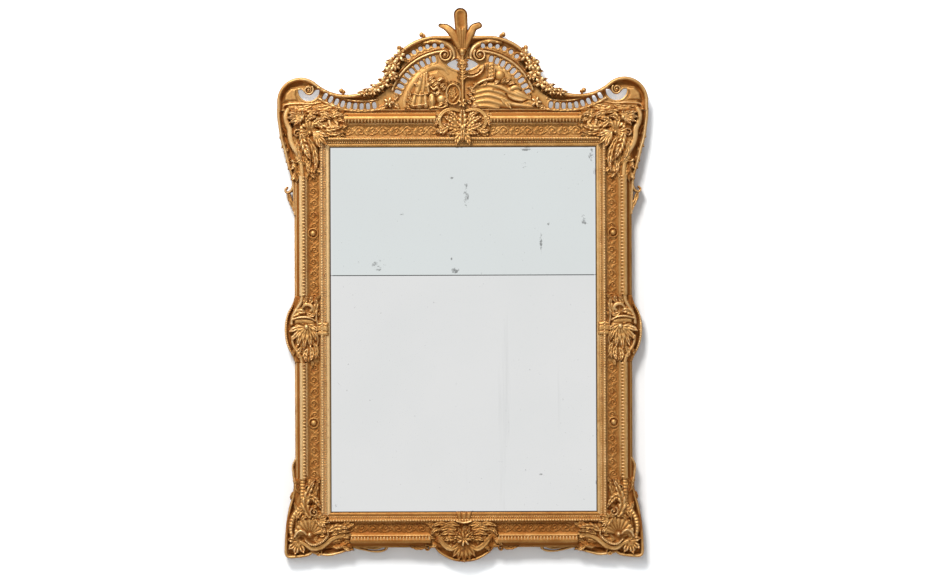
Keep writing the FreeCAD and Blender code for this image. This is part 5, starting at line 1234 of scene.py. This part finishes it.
def lowerCorner():
    o = ornament
    up = o["carved"]
    relief = Relief(-701, -426, -112, 284, 1.7)
    bed = [(-655, 201), (-559, 201), (-559, 28), (-440, 28), (-440, -68), (-655, -68)]
    relief.bed(bed, o["bed"], 4)
    rimLine = smoothLine([(-652, 278), (-664, 250), (-661, 215), (-656, 170), (-664, 125), (-676, 80), (-685, 20), (-690, -46), (-688, -97),
                          (-652, -101), (-608, -95), (-590, -84), (-576, -88), (-530, -95), (-491, -88), (-463, -80), (-434, -74)])
    relief.bed(np.vstack([rimLine, [(-434, -58), (-640, -58), (-640, 278)]]), o["floor"])
    relief.sprigs(bed, 84, 26, o["bed"], 11, awayFrom(-655, -68), 5)
    relief.roll(rimLine, 12, 33, 13, (0.6, 0.9, 1, 1.1, 1.1, 1, 0.9, 0.7))
    relief.leaf([(-652, 150), (-668, 138), (-674, 120)], 14, 32, 12, 2)
    relief.roll(smoothLine([(-624, 207), (-626, 150), (-626, 106), (-641, 80), (-657, 60), (-668, 38), (-673, 8), (-668, -20)]), 21, 41, 18,
                (1.1, 1.1, 1, 1.1, 1, 0.6), 12.4, 0.15)
    relief.shade(smoothLine([(-643, 270), (-645, 210), (-644, 160), (-654, 118), (-664, 86), (-680, 34), (-682, -30)]), 14, -0.34)
    relief.roll(smoothLine([(-657, -24), (-647, -7), (-634, 1), (-620, -3), (-611, -14)]), 13, up + 1, 20, (0.7, 1, 1, 0.8))
    relief.shell(-598, -16, 58, 8, 166, 9, up - 1, 13, 0.12)
    relief.bead(-598, -14, 9, up + 6, 17)
    relief.roll(smoothLine([(-615, -36), (-600, -50), (-582, -55), (-560, -48), (-541, -35), (-528, -16), (-530, 2)]), 12, up, 19,
                (0.7, 1, 1.1, 1, 0.7), 7)
    relief.sink([(-566, -76), (-522, -64), (-482, -48), (-446, -42)], 26, 9)
    relief.shade(smoothLine([(-556, -76), (-522, -66), (-490, -62), (-446, -56)]), 22, -0.30)
    relief.roll(smoothLine([(-634, -44), (-613, -56), (-590, -69), (-566, -68), (-546, -59), (-515, -35), (-479, -21), (-442, -16)]), 18, 43, 17,
                (0.7, 1, 1.1, 1, 0.8, 0.6), 0, 0.3)
    relief.fan(-642, -46, [(-684, -34), (-680, -72), (-656, -92), (-622, -86)], 32, 36, 19)
    relief.fan(-566, 34, [(-548, 66), (-528, 56), (-524, 34), (-538, 22)], 24, o["sightTop"] - 1, 13)
    relief.leaf([(-612, 122), (-590, 130), (-570, 114), (-555, 88)], 27, up, 19, 5)
    relief.leaf([(-598, 56), (-614, 98), (-602, 150), (-578, 198)], 36, up, 20, 6)
    relief.leaf([(-584, 140), (-572, 164), (-570, 192)], 22, up - 2, 15, 3)
    relief.leaf([(-570, 62), (-560, 30), (-534, 18)], 26, up + 2, 18, 4)
    relief.leaf([(-522, 0), (-490, 14), (-448, 10)], 26, up, 18, 4)
    relief.leaf([(-508, -14), (-478, -2), (-446, -4)], 18, up, 15, 3)
    relief.leaf([(-640, 150), (-648, 172), (-642, 198)], 18, 43, 14, 3)
    relief.leaf([(-560, 20), (-545, 4), (-536, -14)], 22, up, 16, 3)
    relief.leaf([(-622, 82), (-640, 64), (-650, 40)], 20, up - 2, 15, 3)
    relief.leaf([(-596, 24), (-580, 46), (-574, 66)], 22, up, 15, 3)
    relief.scroll(-580, 72, 17, 120, 430, 9, up + 1, 20)
    relief.scroll(-606, 164, 12, 60, 400, 6, up, 16)
    relief.scroll(-566, -86, 14, 60, -420, 7, 34, 17)
    relief.bias -= 0.10
    relief.scroll(-488, -2, 11, 20, 400, 6, up + 2, 16)
    for x, z in ((-596, 104), (-566, 46), (-630, -30), (-536, -14), (-640, 44)):
        relief.sink([(x - 3, z), (x + 3, z - 2)], 12, 8)
    return cutRelief(relief, memberBack(relief))


def sideCartouche():
    o = ornament
    up = o["carved"]
    relief = Relief(-702, -514, 640, 922, 1.6)
    bed = [(-655, 651), (-655, 910), (-559, 910), (-559, 651)]
    relief.bed(bed, o["bed"], 4)
    rimLine = smoothLine([(-650, 906), (-662, 872), (-678, 842), (-686, 814), (-689, 780), (-686, 742), (-677, 710), (-662, 680), (-650, 654)])
    relief.bed(np.vstack([rimLine, [(-640, 654), (-640, 906)]]), o["floor"] + 2)
    relief.sprigs(bed, 60, 21, o["bed"], 10, awayFrom(-600, 790), 3)
    relief.roll(rimLine, 10, 32, 13, (0.8, 1, 1.05, 1, 0.8), 9)
    # the dark channel goes on round the rim in painted shade, and the ribbed roll runs out into the carving
    relief.shade(smoothLine([(-642, 910), (-656, 868), (-670, 840), (-676, 818)]), 15, -0.40)
    relief.shade(smoothLine([(-675, 768), (-671, 730), (-658, 698), (-643, 668), (-642, 650)]), 13, -0.40)
    relief.roll(smoothLine([(-624, 915), (-628, 888), (-641, 866), (-655, 844), (-664, 822), (-665, 802)]), 17, 41, 18, (1.2, 1, 0.9, 0.8, 0.7))
    relief.roll(smoothLine([(-664, 752), (-661, 724), (-648, 698), (-632, 676), (-624, 646)]), 15, 41, 17, (0.7, 0.8, 0.9, 1, 1.3))
    # a smooth brow with a leaf and a curl above it, and leaves that fall away below it
    for points, width, lobes in (
        ([(-656, 836), (-636, 850), (-612, 846)], 30, 2), ([(-618, 880), (-610, 894), (-614, 910)], 18, 2), ([(-596, 880), (-588, 894), (-592, 912)], 18, 2),
        ([(-580, 840), (-570, 870), (-573, 904)], 22, 3), ([(-604, 842), (-590, 834), (-572, 838)], 20, 2),
        ([(-606, 700), (-614, 682), (-610, 656)], 24, 3), ([(-590, 706), (-586, 686), (-592, 660)], 24, 3), ([(-576, 722), (-568, 696), (-574, 666)], 20, 3),
        ([(-632, 706), (-640, 690), (-636, 668)], 20, 2), ([(-616, 786), (-648, 784), (-674, 772)], 26, 2), ([(-616, 784), (-644, 764), (-662, 740)], 26, 2),
        ([(-612, 782), (-632, 750), (-642, 716)], 26, 3), ([(-606, 782), (-614, 744), (-618, 704)], 27, 3), ([(-600, 784), (-596, 748), (-592, 712)], 26, 3),
        ([(-598, 790), (-580, 764), (-570, 738)], 24, 2), ([(-600, 796), (-580, 788), (-564, 776)], 22, 2),
    ):
        relief.leaf(points, width, up, 15, lobes)
    relief.roll(smoothLine([(-626, 862), (-612, 876), (-592, 874), (-584, 862), (-592, 852)]), 14, up + 1, 16, (0.6, 1, 1.1, 0.8), 0, 0.2)
    relief.bed([(-660, 820), (-640, 828), (-600, 826), (-576, 818), (-572, 800), (-590, 794), (-622, 800), (-656, 798)], up + 8, 12)
    relief.roll(smoothLine([(-662, 820), (-630, 828), (-598, 826), (-574, 814)]), 10, up + 3, 13, (0.7, 1, 1, 0.7))
    relief.bead(-608, 790, 11, up + 4, 16)
    relief.roll(smoothLine([(-566, 858), (-570, 826), (-565, 800), (-570, 772), (-563, 742), (-568, 716)]), 8, up + 2, 12, (0.7, 1, 1, 1, 0.7))
    # a folded clasp laps over the sight moulding
    relief.bed([(-570, 808), (-546, 812), (-522, 806), (-522, 756), (-546, 752), (-570, 756)], o["sightTop"] + 4, 10)
    for z in (794, 772):
        relief.sink(smoothLine([(-568, z), (-546, z + 2), (-524, z - 2)]), 7, 4)
    return cutRelief(relief, memberBack(relief))


def topCartouche():
    o = ornament
    up = o["carved"]
    relief = Relief(-112, 112, 1486, 1642, 1.6)
    bed = [(-104, 1530), (104, 1530), (104, 1625), (-104, 1625)]
    relief.bed(bed, o["bed"], 4)
    relief.sprigs(bed, 40, 23, o["bed"], 11, awayFrom(0, 1570), 8)
    for way in (1, -1):
        flip = np.array([way, 1])
        relief.roll(smoothLine([(16, 1626), (42, 1632), (70, 1624), (88, 1604), (90, 1580), (80, 1562)]) * flip, 16, up - 2, 15, (0.8, 1, 1.1, 0.8), 0, 0.3)
        for points, width in (
            ([(18, 1566), (40, 1588), (70, 1602)], 30), ([(24, 1592), (38, 1612), (60, 1618)], 20), ([(22, 1556), (48, 1564), (78, 1578)], 26),
            ([(60, 1558), (80, 1546), (103, 1550)], 24), ([(88, 1600), (98, 1590), (104, 1568)], 18), ([(8, 1552), (30, 1542), (58, 1538)], 24),
        ):
            relief.leaf(np.array(points) * flip, width, up, 15, 4)
        relief.leaf(np.array([(4, 1536), (20, 1516), (27, 1492)]) * flip, 32, o["sightTop"] - 2, 14, 3)
    relief.leaf([(0, 1558), (0, 1592), (0, 1637)], 38, up + 1, 20, 4)
    relief.leaf([(0, 1566), (0, 1540), (0, 1502)], 24, o["sightTop"], 14, 3)
    relief.bead(0, 1560, 10, 50, 16)
    return cutRelief(relief, memberBack(relief))


def bottomCartouche():
    o = ornament
    up = o["carved"]
    relief = Relief(-224, 224, -128, 80, 1.7)
    bed = [(-129, 28), (129, 28), (129, -68), (-129, -68)]
    relief.bed(bed, o["bed"], 4)
    halfRim = [(-122, -30), (-117, -56), (-98, -82), (-72, -100), (-40, -114), (0, -119)]
    rimLine = smoothLine(halfRim + [(-x, z) for x, z in reversed(halfRim[:-1])])
    relief.bed(np.vstack([rimLine, [(122, -30), (-122, -30)]]), o["floor"] + 4)
    relief.sprigs(bed, 54, 23, o["bed"], 11, awayFrom(0, -20), 6)
    relief.roll(rimLine, 11, 32, 12, (0.8, 1, 1.1, 1, 0.8))
    relief.shade(rimLine * (0.9, 0.9), 16, -0.30)
    # leaves overlap below the middle
    for angle, reach in ((-150, 60), (-30, 60), (-128, 68), (-52, 68), (-108, 72), (-72, 72), (-90, 75)):
        turn = math.radians(angle)
        relief.leaf([(0, -48), (0.6 * reach * math.cos(turn), -48 + 0.55 * reach * math.sin(turn)), (reach * math.cos(turn), -48 + reach * math.sin(turn))], 30, 40, 14, 2)
    for way in (1, -1):
        flip = np.array([way, 1])
        relief.roll(smoothLine([(126, -6), (110, -17), (93, -36), (76, -57), (50, -72), (30, -66)]) * flip, 20, 42, 18, (0.5, 0.9, 1.1, 1.15, 0.7), 0, 0.35)
        for points, width in (
            ([(22, 20), (50, 26), (84, 20)], 20), ([(64, 22), (96, 26), (126, 16)], 20), ([(34, 4), (62, 10), (100, 2)], 26), ([(38, -14), (62, -8), (90, -16)], 24),
            ([(40, -34), (58, -32), (76, -40)], 22), ([(100, 6), (116, 0), (127, -16)], 18),
        ):
            relief.leaf(np.array(points) * flip, width, up, 15, 2)
        # a small scroll with a leaf tail hangs under the rail on each side
        relief.leaf(np.array([(150, -66), (180, -70), (216, -62)]) * flip, 17, 34, 14, 3)
        relief.scroll(way * 144, -70, 13, 90 - way * 20, way * 420, 7, 34, 16)
        relief.roll(smoothLine([(116, -58), (130, -62), (140, -58)]) * flip, 9, 34, 13)
    # a palmette round the rosette
    for angle in (10, 35, 60, 90, 120, 145, 170):
        turn = math.radians(angle)
        relief.leaf([(0, -34), (24 * math.cos(turn), -34 + 26 * math.sin(turn)), (44 * math.cos(turn), -34 + 50 * math.sin(turn))], 24, up + 1, 16, 3)
    relief.flower(0, -34, 25, 7, up + 3, 18)
    # the cartouche is darker overall, painted shade low on the frame
    relief.bias -= 0.19
    # wide fluted clasp over the sight moulding
    relief.bed([(-26, 32), (-30, 70), (30, 70), (26, 32)], o["sightTop"] + 2, 7)
    for x in (-10, 10):
        relief.sink(smoothLine([(x * 0.8, 34), (x, 54), (x * 1.1, 70)]), 8, 4)
    relief.roll(smoothLine([(-28, 36), (0, 30), (28, 36)]), 11, up + 2, 17)
    return cutRelief(relief, memberBack(relief))


tendril = {"back": 14.0, "base": 20.0, "rise": 10.0, "width": 7.5}


def carveTendril():
    # a thin forked branch that hangs under the bottom rail
    t = tendril
    relief = Relief(-466, -284, -96, -54, 1.4)
    relief.leaf([(-458, -62), (-444, -72), (-428, -80)], 15, t["base"], t["rise"], 2)
    for points in ([(-448, -62), (-420, -70), (-390, -77), (-356, -84), (-322, -83), (-302, -74), (-306, -64)],
                   [(-402, -66), (-372, -72), (-342, -73), (-314, -65)]):
        relief.roll(smoothLine(points), t["width"], t["base"], t["rise"], (0.9, 1.1, 0.9, 1.2, 1.0))
    relief.bead(-303, -72, 6.5, t["base"], t["rise"])
    return cutRelief(relief, t["back"])


tendrilShape = carveTendril()
dress(makePiece("railTendrilLeft", *tendrilShape, carvedGilt))
dress(makePiece("railTendrilRight", *flipped(tendrilShape), carvedGilt))
dressPair("upperCorner", upperCorner(), "upper_corner")
dressPair("lowerCorner", lowerCorner(), "lower_corner")
dressPair("sideCartouche", sideCartouche(), "side_cartouche")
dress(makePiece("topCartouche", *topCartouche(), carvedGilt), "top_cartouche")
dress(makePiece("bottomCartouche", *bottomCartouche(), carvedGilt), "bottom_cartouche")
print("corners and cartouches carved")


# CAD nodes that keep their own shape

nodeLooks = {
    "mirror_plate": oldSilver, "stile": uprightPine, "rail": levelPine, "backboard_ledges": ledgeOak, "backboard": backOak,
    "glazing_blocks": ledgeOak, "crest_battens": ledgeOak, "crest_dowels": ledgeOak, "turn_button": buttonBeech,
    "hanger_plate": forgedIron, "hanging_ring": forgedIron, "wood_screws": screwSteel,
}
for name, node in nodes.items():
    look = next((look for start, look in nodeLooks.items() if name.startswith(start)), plainGilt)
    if len(node.material_slots) == 0:
        node.data.materials.append(look)
    for place in node.material_slots:
        place.material = look
print("frame nodes painted")


# wall, floor, light and camera

studio = {
    "wall": (0.82, 0.82, 0.82), "wallGlow": 0.35, "crestGlow": 0.40, "floorLevel": -0.85, "wallGap": 0.002,
    "distance": 9.0, "aimX": 0.026, "aimZ": 0.931, "viewWidth": 3.648, "lean": 0.2,
}


def plane(name, corners, material):
    mesh = bpy.data.meshes.new(name)
    mesh.from_pydata(corners, [], [(0, 1, 2, 3)])
    mesh.materials.append(material)
    piece = bpy.data.objects.new(name, mesh)
    bpy.context.scene.collection.objects.link(piece)
    return piece


def wallPaint():
    # seen from the front only and open to the light behind it, so that views from behind show the back of the frame
    material, tree, shader = newMaterial("wallPaint")
    setSockets(shader, Roughness=0.9)
    shader.inputs["Base Color"].default_value = (*studio["wall"], 1)
    shader.inputs["Specular IOR Level"].default_value = 0.0
    shader.inputs["Emission Color"].default_value = (0.86, 0.94, 1.0, 1)
    coords = addNode(tree, "ShaderNodeTexCoord").outputs["Object"]
    axes = addNode(tree, "ShaderNodeSeparateXYZ")
    tree.links.new(coords, axes.inputs[0])
    # a painted glow makes the wall white away from the frame, as a lit backdrop is, with the shade left close to it,
    # and lights the wall behind the crest where it shows through the piercings
    behind = ramp(tree, math2(tree, "MULTIPLY", axes.outputs["Z"], 0.5), [(0.79, (0, 0, 0)), (0.83, (studio["crestGlow"],) * 3)])
    beside = math2(tree, "SUBTRACT", math2(tree, "ABSOLUTE", axes.outputs["X"], 0), frameSize["halfWidth"] / 1000)
    below = math2(tree, "SUBTRACT", frameSize["bottom"] / 1000, axes.outputs["Z"])
    away = math2(tree, "MULTIPLY", math2(tree, "MAXIMUM", beside, below), 5.0)
    glow = math2(tree, "MAXIMUM", behind, ramp(tree, away, [(0.24, (0, 0, 0)), (0.50, (studio["wallGlow"],) * 3)]))
    tree.links.new(glow, shader.inputs["Emission Strength"])
    clear = addNode(tree, "ShaderNodeBsdfTransparent")
    facing = addNode(tree, "ShaderNodeNewGeometry").outputs["Backfacing"]
    mix = addNode(tree, "ShaderNodeMixShader")
    shadow = addNode(tree, "ShaderNodeLightPath").outputs["Is Shadow Ray"]
    tree.links.new(math2(tree, "MAXIMUM", facing, shadow), mix.inputs[0])
    tree.links.new(shader.outputs[0], mix.inputs[1])
    tree.links.new(clear.outputs[0], mix.inputs[2])
    tree.links.new(mix.outputs[0], tree.nodes["Material Output"].inputs["Surface"])
    return material


def floorPaint():
    material, tree, shader = newMaterial("floorPaint")
    shader.inputs["Base Color"].default_value = (0.36, 0.36, 0.36, 1)
    setSockets(shader, Roughness=0.85)
    return material


low = studio["floorLevel"]
gap = studio["wallGap"]
plane("wall", [(-9, gap, low), (9, gap, low), (9, gap, 9), (-9, gap, 9)], wallPaint())
plane("floor", [(-5, -2.6, low), (5, -2.6, low), (5, 2.6, low), (-5, 2.6, low)], floorPaint())


def areaLight(name, place, aim, size, power, color=(1, 1, 1)):
    data = bpy.data.lights.new(name, "AREA")
    data.shape = "RECTANGLE"
    data.size, data.size_y = size
    data.energy = power
    data.color = color
    lamp = bpy.data.objects.new(name, data)
    bpy.context.scene.collection.objects.link(lamp)
    lamp.location = place
    lamp.rotation_euler = (Vector(aim) - Vector(place)).to_track_quat("-Z", "Y").to_euler()
    return lamp


middle = (0, 0, 0.95)
areaLight("keyLight", (-2.6, -5.8, 7.9), middle, (2.8, 2.8), 1250, (1.0, 0.985, 0.96))
areaLight("fillLight", (-4.6, -4.2, 1.6), middle, (2.6, 2.6), 15)
areaLight("backLight", (1.2, 3.6, 3.0), middle, (3.0, 3.0), 90)


def skyLight():
    # a dim room, paler overhead, with one broad white panel behind the camera that the glass shows
    world = bpy.data.worlds.new("studioRoom")
    bpy.context.scene.world = world
    world.use_nodes = True
    tree = world.node_tree
    direction = addNode(tree, "ShaderNodeTexCoord").outputs["Generated"]
    axes = addNode(tree, "ShaderNodeSeparateXYZ")
    tree.links.new(direction, axes.inputs[0])
    height = math2(tree, "ADD", math2(tree, "MULTIPLY", axes.outputs["Z"], 0.5), 0.5)
    room = ramp(tree, height, [(0.0, (0.07, 0.065, 0.06)), (0.42, (0.20, 0.195, 0.19)), (0.6, (0.42, 0.42, 0.42)), (0.78, (0.34, 0.34, 0.35)), (1.0, (0.26, 0.26, 0.28))])
    front = math2(tree, "MULTIPLY", axes.outputs["Y"], -1.0)
    panel = ramp(tree, front, [(0.80, (0, 0, 0)), (0.93, (1, 1, 1))])
    color = mixColors(tree, panel, room, (0.79, 0.795, 0.80))
    back = tree.nodes["Background"]
    tree.links.new(color, back.inputs["Color"])
    back.inputs["Strength"].default_value = 1.0


skyLight()
data = bpy.data.cameras.new("photoCamera")
data.sensor_width = 36
data.lens = 36 * studio["distance"] / studio["viewWidth"]
camera = bpy.data.objects.new("photoCamera", data)
bpy.context.scene.collection.objects.link(camera)
camera.location = (studio["aimX"], -studio["distance"] - 0.04, studio["aimZ"])
camera.rotation_euler = (math.radians(90), math.radians(studio["lean"]), 0)
bpy.context.scene.camera = camera
bpy.context.scene.view_settings.view_transform = "Standard"
print("studio set")
